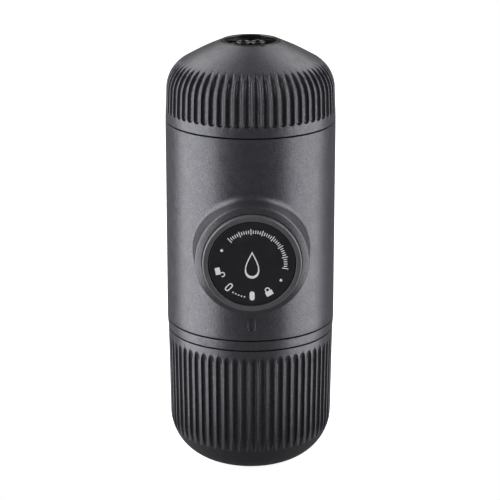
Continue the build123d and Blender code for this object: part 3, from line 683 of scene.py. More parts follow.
@dataclass(frozen=True)
class Cup:
    """The fluted cup that the machine stands on, which is also its lid and drinking cup."""

    rim_r: float = 30.2
    draft: float = 0.75
    wall: float = 2.6
    shoulder: float = 18.0
    edge: float = 0.3
    flute_start: float = 6.4     # under the rim, where the flutes have their full depth
    flute_top: float = 4.0
    flute_foot: float = 7.0
    flute_turn: float = 1.5
    flute_rest: float = 1.0      # from the flutes' last end to where the columns are evenly spaced

    def build(self) -> None:
        """Models the cup."""
        height = span("cup")[1].z
        foot_r = self.rim_r - self.draft
        turn = math.pi / 2 - math.atan(self.draft / height)
        tangent = self.shoulder * math.tan(turn / 2)
        skin = rounded((self.rim_r - self.wall / 2, height), (self.rim_r, height, self.edge),
                       (foot_r, 0, self.shoulder), (0, 0), step=4.0)
        lining = rounded((0, self.wall), (foot_r - self.wall, self.wall, self.shoulder - self.wall),
                         (self.rim_r - self.wall, height, self.edge), (self.rim_r - self.wall / 2, height))
        lead = edge_lead(self.wall, self.edge)
        top = FluteEnd(lead + self.flute_start, -self.flute_top, narrowing=0.3, rising=1.2, softening=0.6)
        foot = FluteEnd(lead + height - tangent, self.flute_foot, narrowing=0.3, rising=1.0, softening=1.0)
        shell = FlutedShell(skin, lining, Flutes((top, foot), self.flute_turn), self.flute_rest)
        Piece("cup_shell", Body.CUP, SHELL, ("cup",), crease=FLUTED_CREASE).build(shell.mesh())


@dataclass(frozen=True)
class OutletHead:
    """The fluted head that screws on over the coffee basket, with the nozzle in its top."""

    body_r: float = 30.5
    draft: float = 0.65
    wall: float = 2.0
    shoulder: float = 12.0
    cone_slope: float = 28.75
    crown_r: float = 17.0
    crown_slope: float = 23.6
    crown_blend: float = 60.0
    hole_r: float = 10.25
    edge: float = 0.3
    hole_edge: float = 0.45
    flute_start: float = 4.9     # above the edge, where the flutes have their full width
    flute_foot: float = 1.4
    flute_wrap: float = 33.0     # degrees of the shoulder that they follow at their full depth
    flute_top: float = 4.4
    flute_turn: float = 3.0
    flute_rest: float = 0.6      # from the flutes' last end to where the columns are evenly spaced

    def build(self) -> None:
        """Models the head's shell."""
        low, high = span("outlet_shell")
        cone, crown = (math.tan(math.radians(a)) for a in (self.cone_slope, self.crown_slope))
        shoulder_r = self.body_r - self.draft
        crown_z = high.z - (self.crown_r - self.hole_r) * crown
        shoulder_z = crown_z - (shoulder_r - self.crown_r) * cone
        inner_r = shoulder_r - self.wall
        drop = self.wall / math.cos(math.radians(self.cone_slope))
        foot = (self.body_r - self.wall / 2, low.z)
        skin = rounded(foot, (self.body_r, low.z, self.edge), (shoulder_r, shoulder_z, self.shoulder),
                       (self.crown_r, crown_z, self.crown_blend), (self.hole_r, high.z, self.hole_edge),
                       (self.hole_r, high.z - self.wall / 2), step=6.0)
        under = shoulder_z - self.wall * math.tan(math.radians(45 - self.cone_slope / 2))
        lining = rounded((self.hole_r, high.z - self.wall / 2), (self.hole_r, high.z - drop),
                         (self.crown_r, crown_z - drop, self.crown_blend),
                         (inner_r, under, self.shoulder - self.wall), (inner_r, low.z, self.edge), foot)[1:]
        turn = math.radians(90 - self.cone_slope) - math.atan(self.draft / (shoulder_z - low.z))
        lead = edge_lead(self.wall, self.edge)
        wall = math.hypot(self.draft, shoulder_z - low.z) - self.shoulder * math.tan(turn / 2)
        foot = FluteEnd(lead + self.flute_start, -self.flute_foot)
        top = FluteEnd(lead + wall + math.radians(self.flute_wrap) * self.shoulder, self.flute_top,
                       narrowing=0.6, rising=0.8, softening=0.5)
        shell = FlutedShell(skin, lining, Flutes((foot, top), self.flute_turn), self.flute_rest)
        head = Piece("outlet_head_shell", Body.HEAD, SHELL, ("outlet_shell",), crease=FLUTED_CREASE)
        head.build(shell.mesh())


# ---------------------------------------------------------------------------------- body casing
# (how far outside the mark's outline, depth) from the wall to the mark's floor
MARK_SECTION = ((0.35, 0.0), (0.12, 0.02), (0.02, 0.12), (-0.03, 0.3), (-0.08, 0.44), (-0.2, 0.5))


@dataclass(frozen=True)
class Casing:
    """The smooth body shell with the flared boss round the knob and the index mark under it."""

    radius: float = 30.5
    wall: float = 2.0
    edge: float = 0.3
    columns: int = 240
    boss_face_y: float = -38.3
    boss_face_r: float = 19.9
    boss_slant: float = 1.25     # how far the face falls back from its mouth to its edge
    boss_rear_y: float = -20.0
    bore_r: float = 17.9
    mouth_r: float = 17.42       # the bore's front end, close round the knob
    mouth_edge: float = 0.12
    mouth_l: float = 1.0
    bore_steps: Pair = (1.4, 8.0)  # levels of the bore behind the face
    draft: float = 2.0           # degrees of the boss's side
    flare: float = 2.6           # rounding from the boss into the wall
    flare_steps: int = 12
    lip: float = 1.2             # rounding of the boss's face
    window_angle: float = 48.0   # half of the patch round the boss, in degrees of the wall
    window_rise: float = 23.7
    window_drop: float = 22.85
    mark_w: float = 2.5
    mark_l: float = 4.9
    mark_rise: float = 6.15      # the mark's middle above the casing's lower edge
    mark_window: float = 4.5     # half of the patch round the mark, in degrees
    mark_room: float = 3.0       # from the mark's middle down to the patch's lower level
    mark_rows: int = 14
    window_rows: int = 46

    @property
    def slope(self) -> float:
        """How much wider the boss gets for each millimetre back."""
        return math.tan(math.radians(self.draft))

    def boss_r(self, y: float) -> float:
        """The boss's radius at a place along the knob's axis."""
        return self.boss_face_r + (y - self.boss_face_y) * self.slope

    def meet(self, polar: float, extra: float, radius: float) -> float:
        """Where the boss's side, moved out by extra, meets an upright cylinder.

        Args:
            polar: Angle about the knob's axis.
            extra: How far outside the boss's side.
            radius: The cylinder's radius.
        Returns:
            The place along Y.
        """
        aside = self.boss_r(0.0) + extra / math.cos(math.radians(self.draft))
        turned = math.cos(polar)**2
        a = self.slope**2 * turned + 1
        b = 2 * aside * self.slope * turned
        c = aside**2 * turned - radius**2
        return (-b - math.sqrt(b * b - 4 * a * c)) / (2 * a)

    def about_knob(self, polar: float, radius: float, y: float) -> Vector:
        """A place by its angle and distance about the knob's axis."""
        return Vector((radius * math.cos(polar), y, self.knob_z + radius * math.sin(polar)))

    @property
    def knob_z(self) -> float:
        """Height of the knob's axis."""
        return centre_of("knob_cap").z

    def flare_arc(self, polar: float, share: float) -> Vector:
        """A place on the rounding between the wall, at share 0, and the boss, at share 1.

        Args:
            polar: Angle about the knob's axis.
            share: How far along the rounding.
        Returns:
            The place.
        """
        y = self.meet(polar, self.flare, self.radius + self.flare)
        centre = self.about_knob(polar, self.boss_r(y) + self.flare / math.cos(math.radians(self.draft)), y)
        upright = Vector((centre.x, centre.y, 0)).normalized()
        tilt = math.radians(self.draft)
        spoke = Vector((math.cos(polar), 0, math.sin(polar))) * math.cos(tilt) - Y * math.sin(tilt)
        return centre + (-upright).slerp(-spoke, share) * self.flare

    def rows(self, low: float, high: float) -> list[float]:
        """Levels of the wall, close together beside the boss and the mark.

        Args:
            low: The casing's lower edge.
            high: Its upper edge.
        Returns:
            The levels, from below.
        """
        mark_low = low + self.mark_rise - self.mark_room
        window_low, window_high = self.knob_z - self.window_drop, self.knob_z + self.window_rise
        rows = [mark_low + (window_low - mark_low) * k / self.mark_rows for k in range(self.mark_rows)]
        rows += [window_low + (window_high - window_low) * k / self.window_rows
                 for k in range(self.window_rows + 1)]
        return rows + [(window_high + high) / 2]

    def mesh(self) -> Mesh:
        """Turns the wall, opens it round the boss and the mark, and grows both from the openings.

        Returns:
            The casing.
        """
        low, high = (corner.z for corner in span("body_casing"))
        inner = self.radius - self.wall
        levels = self.rows(low, high)
        middle = (self.radius - self.wall / 2, low)
        outer_skin = rounded(middle, (self.radius, low, self.edge), (self.radius, high, self.edge),
                             (self.radius - self.wall / 2, high), step=30.0)
        split = 1 + next(k for k, point in enumerate(outer_skin) if point[1] > low + self.edge / 2)
        outline = outer_skin[:split] + [(self.radius, level) for level in levels] + outer_skin[split:]
        outline += [(inner, high)] + [(inner, level) for level in reversed(levels)] + [(inner, low), middle]
        bm = lathed(outline, self.columns)
        polar = bm.verts.layers.float.new("polar")
        self.grow_boss(bm, polar)
        self.grow_mark(bm, polar, low + self.mark_rise, levels)
        weld(bm)
        return bm

    def open_window(self, bm: Mesh, angle: float, low: float, high: float, skin_r: float,
                    centre_z: float, polar: object) -> list[Edge]:
        """Takes a patch out of one skin of the wall.

        Args:
            bm: The casing.
            angle: Half of the patch, in degrees about the axis.
            low: The patch's lower level.
            high: Its upper level.
            skin_r: Which skin, by its radius.
            centre_z: The level that the rim's angles are measured about.
            polar: The layer that keeps those angles.
        Returns:
            The edges of the opening's rim.
        """
        def inside(face: Face) -> bool:
            """Whether a face is in the patch."""
            middle = face.calc_center_median()
            about = math.degrees(math.atan2(middle.x, -middle.y))
            depth = abs(math.hypot(middle.x, middle.y) - skin_r)
            return abs(about) < angle and low < middle.z < high and depth < self.wall / 4

        faces = [face for face in bm.faces if inside(face)]
        rim = self.rim_of(faces)
        for vert in {vert for edge in rim for vert in edge.verts}:
            about = math.atan2(vert.co.x, -vert.co.y)
            vert[polar] = math.atan2(vert.co.z - centre_z, self.radius * math.sin(about))
        bmesh.ops.delete(bm, geom=faces, context="FACES_ONLY")
        loose = [edge for edge in bm.edges if not edge.link_faces]
        bmesh.ops.delete(bm, geom=loose, context="EDGES")
        return rim

    @staticmethod
    def rim_of(faces: Sequence[Face]) -> list[Edge]:
        """The edges that only one of the faces has."""
        chosen = set(faces)
        edges = dict.fromkeys(edge for face in faces for edge in face.edges)
        return [edge for edge in edges if sum(face in chosen for face in edge.link_faces) == 1]

    def grow_boss(self, bm: Mesh, polar: object) -> None:
        """Grows the flared boss from the outer skin and its root from the inner one.

        Args:
            bm: The casing.
            polar: The layer that keeps each vertex's angle about the knob.
        """
        knob_z = self.knob_z
        low, high = knob_z - self.window_drop, knob_z + self.window_rise
        inner = self.radius - self.wall
        outer_rim = self.open_window(bm, self.window_angle, low, high, self.radius, knob_z, polar)
        inner_rim = self.open_window(bm, self.window_angle, low, high, inner, knob_z, polar)
        starts = {}

        def on_wall(vert: Vert, share: float, radius: float, target: Callable[[float], Vector]) -> Vector:
            """A place on the wall, part of the way from the opening's rim to the boss.

            Args:
                vert: The vertex.
                share: How far it is on its way.
                radius: The skin's radius.
                target: Gives the place on the boss at an angle about the knob.
            Returns:
                The place.
            """
            key = round(vert[polar], 5)
            start = starts.setdefault(key, vert.co.copy())
            goal = target(vert[polar])
            x = start.x + (goal.x - start.x) * share
            z = start.z + (goal.z - start.z) * share
            return Vector((x, -math.sqrt(radius**2 - x * x), z))

        edges = outer_rim
        for share in EASING:
            edges = extrude_ring(bm, edges, lambda v: on_wall(v, share, self.radius,
                                                              lambda p: self.flare_arc(p, 0)))
        for k in range(self.flare_steps + 1):
            edges = extrude_ring(bm, edges, lambda v: self.flare_arc(v[polar], k / self.flare_steps))
        face_y, edge = self.boss_face_y, self.mouth_edge
        rim_y = face_y + self.boss_slant
        side_y = rim_y + 2           # on the boss's side, behind its rounding
        turn = rounded((self.boss_r(side_y), side_y), (self.boss_r(rim_y), rim_y, self.lip),
                       (self.mouth_r + edge, face_y, edge), (self.mouth_r, face_y + edge + 0.03),
                       step=10.0)[1:]
        bore = [(self.mouth_r, face_y + self.mouth_l),
                *((self.bore_r, face_y + step) for step in self.bore_steps), (self.bore_r, self.boss_rear_y)]
        for radius, y in turn + bore:
            edges = extrude_ring(bm, edges, lambda v: self.about_knob(v[polar], radius, y))

        starts.clear()
        edges = inner_rim

        def root(angle: float) -> Vector:
            """Where the boss's side meets the inner skin."""
            y = self.meet(angle, 0.0, inner)
            return self.about_knob(angle, self.boss_r(y), y)

        for share in (0.5, 1.0):
            edges = extrude_ring(bm, edges, lambda v: on_wall(v, share, inner, root))
        for radius in (self.boss_r(self.boss_rear_y), self.bore_r):
            edges = extrude_ring(bm, edges, lambda v: self.about_knob(v[polar], radius, self.boss_rear_y))

    def mark_reach(self, angle: float, grown: float) -> float:
        """How far the mark's round-ended outline lies from its middle, at an angle.

        Args:
            angle: The angle, from across.
            grown: By how much the outline is larger than the mark.
        Returns:
            The distance.
        """
        half_w = self.mark_w / 2 + grown
        half_l = (self.mark_l - self.mark_w) / 2
        across, up = abs(math.cos(angle)), abs(math.sin(angle))
        if up * half_w <= half_l * across:
            return half_w / across
        return half_l * up + math.sqrt((half_l * up)**2 - half_l**2 + half_w**2)

    def grow_mark(self, bm: Mesh, polar: object, centre_z: float, levels: Sequence[float]) -> None:
        """Sinks the index mark into the outer skin.

        Args:
            bm: The casing.
            polar: The layer that keeps each vertex's angle about the mark.
            centre_z: Height of the mark's middle.
            levels: The wall's levels.
        """
        edges = self.open_window(bm, self.mark_window, levels[0], self.knob_z - self.window_drop, self.radius,
                                 centre_z, polar)
        for grown, depth in MARK_SECTION:
            def sunk(vert: Vert) -> Vector:
                """A place on the mark's side."""
                reach = self.mark_reach(vert[polar], grown)
                x, z = reach * math.cos(vert[polar]), centre_z + reach * math.sin(vert[polar])
                return Vector((x, depth - math.sqrt(self.radius**2 - x * x), z))
            edges = extrude_ring(bm, edges, sunk)
        bmesh.ops.contextual_create(bm, geom=edges)

    def build(self) -> None:
        """Models the casing."""
        Piece("body_shell", Body.MAIN, SHELL, ("body_casing",)).build(self.mesh())


# ---------------------------------------------------------------------------------- small hardware
def sweep(bm: Mesh, path: Sequence[Vector], sideways: Sequence[Vector],
          section: Sequence[Sequence[Point]]) -> None:
    """Draws a closed section along a path.

    Args:
        bm: The mesh that gets the sweep.
        path: The points that the section passes.
        sideways: At each of them, the way that the section's first coordinate points.
        section: At each of them, the section's points.
    """
    rings = []
    for number, point in enumerate(path):
        ahead = (path[min(number + 1, len(path) - 1)] - path[max(number - 1, 0)]).normalized()
        side = (sideways[number] - ahead * sideways[number].dot(ahead)).normalized()
        up = ahead.cross(side)
        rings.append([point + side * a + up * b for a, b in section[number]])
    tube(bm, rings)


def ngon(radius: float, sides: int) -> list[Point]:
    """Points of a regular polygon."""
    return [(radius * math.cos(TAU * k / sides), radius * math.sin(TAU * k / sides)) for k in range(sides)]


@dataclass(frozen=True)
class Thread:
    """A raised screw thread on a round wall, outside it or inside."""

    root_r: float
    crest_r: float
    start: float
    pitch: float
    turns: float
    foot: float = 0.55           # half of the ridge's width at the wall
    crest: float = 0.18          # half of its width at the crest
    sunk: float = 0.1
    steps: int = 48
    run_out: int = 8             # steps over which an end rises out of the wall

    def cut(self, bm: Mesh, spindle: Spindle = UPRIGHT) -> None:
        """Adds the ridge to a mesh, with both ends running out into the wall.

        Args:
            bm: The mesh that gets the ridge.
            spindle: The wall's axis.
        """
        count = round(self.turns * self.steps)
        rise = self.crest_r - self.root_r
        inward = math.copysign(self.sunk, rise)
        path, sideways, section = [], [], []
        for k in range(count + 1):
            angle = TAU * k / self.steps
            path.append(spindle.at(self.root_r, self.start + self.pitch * k / self.steps, angle))
            sideways.append(spindle.spoke(angle))
            top = rise * min(1.0, k / self.run_out, (count - k) / self.run_out)
            section.append([(-inward, -self.foot), (top, -self.crest), (top, self.crest),
                            (-inward, self.foot)])
        sweep(bm, path, sideways, section)


@dataclass(frozen=True)
class Screw:
    """A round-headed screw with a six-sided socket."""

    head_r: float
    head_h: float
    shank_r: float
    length: float
    socket: float                # half across the socket's flats
    sides: int = 24
    pitch: float = 0.5
    tip: float = 0.6             # the tip's radius as a share of the shank's
    groove: float = 0.84         # the radius between two turns of the thread, likewise
    round_off: float = 0.3       # the head's rounding as a share of its height
    round_steps: int = 3
    mouth: float = 1.08          # the socket's mouth as a share of its width
    mouth_depth: float = 0.1
    socket_floor: float = 0.35   # the socket's floor as a share of the head's height

    def socket_ring(self, height: float, scale: float = 1.0) -> list[Triple]:
        """(radius, height, angle) round the socket.

        Args:
            height: The ring's height.
            scale: How much wider than the socket it is.
        Returns:
            The places.
        """
        ring = []
        for k in range(self.sides):
            angle = TAU * k / self.sides
            aside = (angle + math.pi / 6) % (math.pi / 3) - math.pi / 6
            ring.append((self.socket * scale / math.cos(aside), height, angle))
        return ring

    def round_ring(self, radius: float, height: float) -> list[Triple]:
        """(radius, height, angle) round the screw."""
        return [(radius, height, TAU * k / self.sides) for k in range(self.sides)]

    def add(self, bm: Mesh, spindle: Spindle) -> None:
        """Adds the screw to a mesh: its head's top lies head_h along the spindle, its shank behind.

        Args:
            bm: The mesh.
            spindle: The screw's axis, which starts under its head.
        """
        tip_r = self.shank_r * self.tip
        rings = [self.round_ring(tip_r, -self.length)]
        for k in range(round((self.length - self.shank_r) / self.pitch)):
            height = -self.length + tip_r + k * self.pitch
            rings += [self.round_ring(self.shank_r * self.groove, height),
                      self.round_ring(self.shank_r, height + self.pitch / 2)]
        rings += [self.round_ring(self.shank_r, 0), self.round_ring(self.head_r, 0)]
        edge = self.head_h * self.round_off
        for k in range(self.round_steps + 1):
            bend = math.pi / 2 * k / self.round_steps
            rings.append(self.round_ring(self.head_r - edge * (1 - math.cos(bend)),
                                         self.head_h - edge * (1 - math.sin(bend))))
        rings += [self.socket_ring(self.head_h, self.mouth), self.socket_ring(self.head_h - self.mouth_depth),
                  self.socket_ring(self.head_h * self.socket_floor)]
        tube(bm, [[spindle.at(*place) for place in ring] for ring in rings])

    def build(self, name: str, body: Body, node: str, spindles: Iterable[Spindle]) -> None:
        """Models the screws of a node as one piece.

        Args:
            name: The piece's name.
            body: What the screws ride on.
            node: The node that they stand for.
            spindles: The screws' axes.
        """
        bm = bmesh.new()
        for spindle in spindles:
            self.add(bm, spindle)
        Piece(name, body, SCREW_STEEL, (node,)).build(bm)


@dataclass(frozen=True)
class Coil:
    """A compression spring with closed ends."""

    radius: float
    wire: float
    turns: int
    sides: int = 10
    steps: int = 36
    dead: float = 0.9            # turns that lie flat at each end

    def add(self, bm: Mesh, spindle: Spindle, length: float) -> None:
        """Adds the spring to a mesh.

        Args:
            bm: The mesh.
            spindle: The spring's axis, which starts at its end.
            length: From this end to the other.
        """
        count = self.turns * self.steps
        path, sideways = [], []
        room = length - 2 * self.wire - 4 * self.wire * self.dead
        live = self.turns - 2 * self.dead
        height = self.wire
        for k in range(count + 1):
            turn = k / self.steps
            path.append(spindle.at(self.radius, height, TAU * turn))
            sideways.append(spindle.spoke(TAU * turn))
            flat = turn < self.dead or turn >= self.turns - self.dead
            height += (2 * self.wire if flat else room / live) / self.steps
        sweep(bm, path, sideways, [ngon(self.wire, self.sides)] * len(path))


def holes_in_rings(rings: Iterable[tuple[float, int]], hole_r: float, height: float, sides: int,
                   turn: float = 0.0) -> list[list[Vector]]:
    """Circles set round an axis.

    Args:
        rings: (radius, number of holes) of each ring.
        hole_r: The holes' radius.
        height: Level of the circles.
        sides: Points of each.
        turn: By how much of a pitch each ring is turned past the one inside it.
    Returns:
        The circles.
    """
    return [circle(UPRIGHT.at(radius, height, TAU * (k + turn * number) / count), hole_r, sides)
            for number, (radius, count) in enumerate(rings) for k in range(count)]


# ---------------------------------------------------------------------------------- knob
@dataclass(frozen=True)
class Legend:
    """The printed marks on the knob's plate: a lock scale, a tick arc and a drop of water."""

    face_y: float
    centre_z: float
    radius: float = 11.6         # of the circle that the marks stand on
    proud: float = 0.03
    pill: Pair = (1.75, 3.3)
    stroke: float = 0.42
    pills: Pair = (-90, -134)    # degrees of the full pill and of the hollow one
    dots: int = 5
    dots_at: Pair = (-102.5, -5.1)  # degrees of the first dot, and to the next
    spots: Pair = (154.8, -30.5)
    locks: Pair = (-60.5, -168.0)  # degrees of the shut padlock and of the open one
    lock_body: Triple = (1.3, 1.75, 0.15)  # half its width, its height and its corners
    lock_shift: float = 1.5      # by which the open padlock's shackle stands aside
    shackle_r: Pair = (0.92, 0.54)  # outside and inside
    ticks: int = 36
    ticks_at: Pair = (132, -4)   # degrees of the first tick, and to the next
    tick_w: float = 0.3
    tick_reach: Pair = (1.05, 0.6)  # half of a long and of a short tick
    drop_size: Pair = (2.35, 3.3)  # half its width and length at scale 1
    drop_scales: Pair = (1.5, 1.22)  # outside and inside

    def lay(self, bm: Mesh, loops: Sequence[Sequence[Point]], radius: float, degrees: float) -> None:
        """Adds a mark.

        Args:
            bm: The mesh that gets it.
            loops: The mark's outline and its holes, as (across, outward) points.
            radius: Distance of the mark's origin from the knob's axis.
            degrees: Its angle about the axis, from +X.
        """
        angle = math.radians(degrees)
        out, across = X * math.cos(angle) + Z * math.sin(angle), Z * math.cos(angle) - X * math.sin(angle)
        origin = Vector((0, self.face_y, self.centre_z))
        placed = [[origin + out * (radius + v) + across * u for u, v in loop] for loop in loops]
        plate(bm, placed, -Y * self.proud)

    @staticmethod
    def stadium(width: float, length: float, sides: int = 12) -> list[Point]:
        """A round-ended bar's outline.

        Args:
            width: Width of the bar.
            length: Its whole length.
            sides: Faces round each end.
        Returns:
            The outline.
        """
        half = (length - width) / 2
        points = []
        for k in range(2 * sides + 2):
            angle = math.pi * (k if k <= sides else k - 1) / sides
            shift = half if k <= sides else -half
            points.append((width / 2 * math.cos(angle), shift + width / 2 * math.sin(angle)))
        return points

    @staticmethod
    def bar(width: float, low: float, high: float) -> list[Point]:
        """A square-ended bar's outline."""
        return [(-width / 2, low), (width / 2, low), (width / 2, high), (-width / 2, high)]

    def drop(self, scale: float) -> list[Point]:
        """A water drop's outline, its tip outward.

        Args:
            scale: Size of the drop.
        Returns:
            The outline.
        """
        half_w, half_l = self.drop_size
        angles = [TAU * k / 64 for k in range(64)]
        return [(half_w * scale * math.sin(a) * math.sin(a / 2) ** 1.35, half_l * scale * math.cos(a) - 0.3)
                for a in angles]

    def padlock(self, bm: Mesh, degrees: float, opened: bool) -> None:
        """Adds a padlock whose shackle points to the knob's middle.

        Args:
            bm: The mesh that gets it.
            degrees: Its angle about the axis, from +X.
            opened: Whether its shackle stands aside.
        """
        half_w, height, corner = self.lock_body
        low_w, low_h = half_w - corner, height - corner
        body = [(-low_w, 0.0), (low_w, 0.0), (half_w, corner), (half_w, low_h),
                (low_w, height), (-low_w, height), (-half_w, low_h), (-half_w, corner)]
        aside = self.lock_shift if opened else 0.0
        wide, narrow = self.shackle_r
        angles = [math.pi * k / 12 for k in range(13)]
        shackle = [(aside + wide * math.cos(a), -0.5 - wide * math.sin(a)) for a in angles]
        shackle += [(aside - wide, -0.01), (aside - narrow, -0.01)]
        shackle += [(aside + narrow * math.cos(a), -0.5 - narrow * math.sin(a)) for a in reversed(angles)]
        shackle += [(aside + narrow, -0.01), (aside + wide, -0.01)]
        for outline in (body, shackle):
            self.lay(bm, [outline], self.radius - 0.3, degrees)

    def mesh(self) -> Mesh:
        """Lays all the marks.

        Returns:
            The marks.
        """
        bm = bmesh.new()
        width, length = self.pill
        full, open_pill = self.pills
        self.lay(bm, [self.stadium(width, length)], self.radius, full)
        hollow = self.stadium(width - 2 * self.stroke, length - 2 * self.stroke)
        self.lay(bm, [self.stadium(width, length), hollow], self.radius, open_pill)
        for k in range(self.dots):
            self.lay(bm, [ngon(0.27, 12)], self.radius + 0.6, self.dots_at[0] + self.dots_at[1] * k)
        for degrees in self.spots:
            self.lay(bm, [ngon(0.5, 16)], self.radius, degrees)
        for degrees, opened in zip(self.locks, (False, True)):
            self.padlock(bm, degrees, opened)
        for k in range(self.ticks):
            reach = self.tick_reach[0 if k % 5 == 0 else 1]
            degrees = self.ticks_at[0] + self.ticks_at[1] * k
            self.lay(bm, [self.bar(self.tick_w, -reach, reach)], self.radius, degrees)
        self.lay(bm, [self.drop(scale) for scale in self.drop_scales], 0.0, 90)
        return bm


@dataclass(frozen=True)
class Knob:
    """The pump's knob: its cap with a rounded bezel and the black plate with the legend."""

    radius: float = 17.3
    bezel: float = 1.95
    face_y: float = -40.5
    rear_y: float = -34.4
    plate_sunk: float = 0.3
    plate_t: float = 1.2
    hub_y: float = -36.9
    barrel_r: float = 15.65
    screw_room: float = 5.3
    legend_gap: float = 0.002

    def build(self) -> None:
        """Models the cap, the plate and the legend."""
        spindle = Spindle(Z * centre_of("knob_cap").z, Y)
        inner = self.radius - self.bezel
        plate_y = self.face_y + self.plate_sunk
        floor_y = plate_y + self.plate_t
        seam_y = plate_y + 0.5
        cap = rounded((inner, seam_y), (inner, self.face_y + 0.12, 0.12), (inner + 0.5, self.face_y, 0.5),
                      (self.radius - 0.35, self.face_y, 0.4), (self.radius, self.face_y + 0.45, 0.4),
                      (self.radius, self.rear_y, 0.2), (self.barrel_r, self.rear_y),
                      (self.barrel_r, self.hub_y), (self.screw_room, self.hub_y),
                      (self.screw_room, floor_y), (inner, floor_y), (inner, seam_y))
        Piece("knob_cap_dressed", Body.KNOB, KNOB_SATIN, ("knob_cap",)).build(lathed(cap, 160, spindle))
        rim, step_y = inner - 0.05, plate_y + 0.14
        face = rounded((0, plate_y), (rim - 0.55, plate_y, 0.1), (rim - 0.45, step_y, 0.1),
                       (rim, step_y, 0.15), (rim, floor_y), (0, floor_y))
        Piece("knob_face", Body.KNOB, PLATE_BLACK, ("knob_plate",)).build(lathed(face, 128, spindle))
        legend = Legend(plate_y - self.legend_gap, spindle.origin.z)
        Piece("knob_legend", Body.KNOB, LEGEND_WHITE).build(legend.mesh())


# ---------------------------------------------------------------------------------- nozzle
@dataclass(frozen=True)
class Nozzle:
    """The black outlet in the head's top: a rim with a tab, curved vanes and a hub with two eyes."""

    radius: float = 10.17
    rim_w: float = 1.0
    rim_top: float = 156.98
    rim_over: float = 0.33       # how far the rim reaches over the shell's edge
    rim_over_t: float = 0.3
    floor_z: float = 150.0
    floor_t: float = 2.0
    flange_r: float = 12.0
    flange_z: float = 152.5
    flange_t: float = 1.0
    vanes: int = 6
    vane_t: float = 0.95
    vane_top: float = 155.3
    vane_inner: float = 4.1
    vane_sweep: float = 75.0     # degrees from a vane's inner end to its outer end
    vane_corner: float = 0.22
    vane_steps: int = 12
    overlap: float = 0.1         # by which vanes and hub reach into what carries them
    hub_r: float = 4.3
    hub_low: float = 0.9         # the hub's rim below the vanes' tops
    hub_rim: Pair = (0.6, 0.7)   # the rim's width and height over the hub's top
    eye_x: float = 2.5
    eye_r: float = 2.2
    eye_wire: float = 0.55
    eye_top: float = 156.5
    tab_at: float = -66.0        # degrees from +X
    tab_w: float = 4.2
    tab_reach: float = 1.15
    tab_z: float = 156.62
    tab_steps: int = 4           # from the tab's middle to its end
    # (share of the tab's reach, height)
    tab_section: tuple[Point, ...] = ((0, -0.3), (0.8, -0.3), (1, -0.1), (0.9, 0.12), (0.6, 0.3), (0, 0.36))

    def build(self) -> None:
        """Models the nozzle."""
        inner, foot_r, over_r = self.radius - self.rim_w, self.radius - 0.3, self.radius + self.rim_over
        floor_top, flange_top = self.floor_z + self.floor_t, self.flange_z + self.flange_t
        under = self.rim_top - self.rim_over_t
        bm = lathed(rounded((0, self.floor_z), (foot_r, self.floor_z, 0.2), (foot_r, self.flange_z),
                            (self.flange_r, self.flange_z, 0.2), (self.flange_r, flange_top, 0.2),
                            (self.radius, flange_top, 0.1), (self.radius, under, 0.1),
                            (over_r, under, 0.12), (over_r, self.rim_top, 0.15),
                            (inner, self.rim_top, 0.35), (inner, floor_top, 0.6), (0, floor_top)), 128)
        self.add_vanes(bm, floor_top, inner)
        self.add_hub(bm, floor_top)
        self.add_tab(bm)
        Piece("nozzle_dressed", Body.HEAD, NOZZLE_GLOSS, ("nozzle_insert",)).build(bm)

    def add_vanes(self, bm: Mesh, floor_top: float, outer: float) -> None:
        """Adds the curved vanes between hub and rim.

        Args:
            bm: The nozzle.
            floor_top: Height of the floor that they stand on.
            outer: Radius of the rim that they reach.
        """
        half_h, half_t = (self.vane_top - floor_top) / 2 + self.overlap, self.vane_t / 2
        low_t, low_h = half_t - self.vane_corner, half_h - self.vane_corner
        section = [(low_t, -half_h), (half_t, -low_h), (half_t, low_h), (low_t, half_h),
                   (-low_t, half_h), (-half_t, low_h), (-half_t, -low_h), (-low_t, -half_h)]
        for vane in range(self.vanes):
            path, sideways = [], []
            for k in range(self.vane_steps + 1):
                share = k / self.vane_steps
                radius = self.vane_inner + (outer + self.overlap - self.vane_inner) * share
                angle = TAU * vane / self.vanes + math.radians(self.vane_sweep) * share ** 0.8
                path.append(UPRIGHT.at(radius, floor_top - self.overlap + half_h, angle))
            for k in range(self.vane_steps + 1):
                ahead = path[min(k + 1, self.vane_steps)] - path[max(k - 1, 0)]
                sideways.append(Z.cross(ahead))
            sweep(bm, path, sideways, [section] * len(path))

    def add_hub(self, bm: Mesh, floor_top: float) -> None:
        """Adds the hub and the two eyes on it.

        Args:
            bm: The nozzle.
            floor_top: Height of the floor that it stands on.
        """
        height = self.vane_top - self.hub_low
        foot, rim_r, top = floor_top - self.overlap, self.hub_r - self.hub_rim[0], height - self.hub_rim[1]
        lathe(bm, rounded((0, foot), (self.hub_r, foot), (self.hub_r, height, 0.35), (rim_r, height, 0.2),
                          (rim_r, top), (0, top)), 72)
        outer, inner = self.eye_r + self.eye_wire, self.eye_r - self.eye_wire
        for side in (-1, 1):
            lathe(bm, rounded((outer, floor_top), (outer, self.eye_top, 0.5), (inner, self.eye_top, 0.5),
                              (inner, floor_top), (outer, floor_top)), 48, Spindle(X * side * self.eye_x))

    def add_tab(self, bm: Mesh) -> None:
        """Adds the tab that reaches over the shell's edge.

        Args:
            bm: The nozzle.
        """
        path, sideways, section = [], [], []
        for k in range(2 * self.tab_steps + 1):
            share = k / self.tab_steps - 1
            around = math.radians(self.tab_at) + share * self.tab_w / 2 / self.radius
            reach = self.tab_reach * math.sqrt(max(1 - share * share, 0.0)) + 0.05
            path.append(UPRIGHT.at(self.radius - 0.3, self.tab_z, around))
            sideways.append(UPRIGHT.spoke(around))
            section.append([(reach * out, up) for out, up in self.tab_section])
        sweep(bm, path, sideways, section)


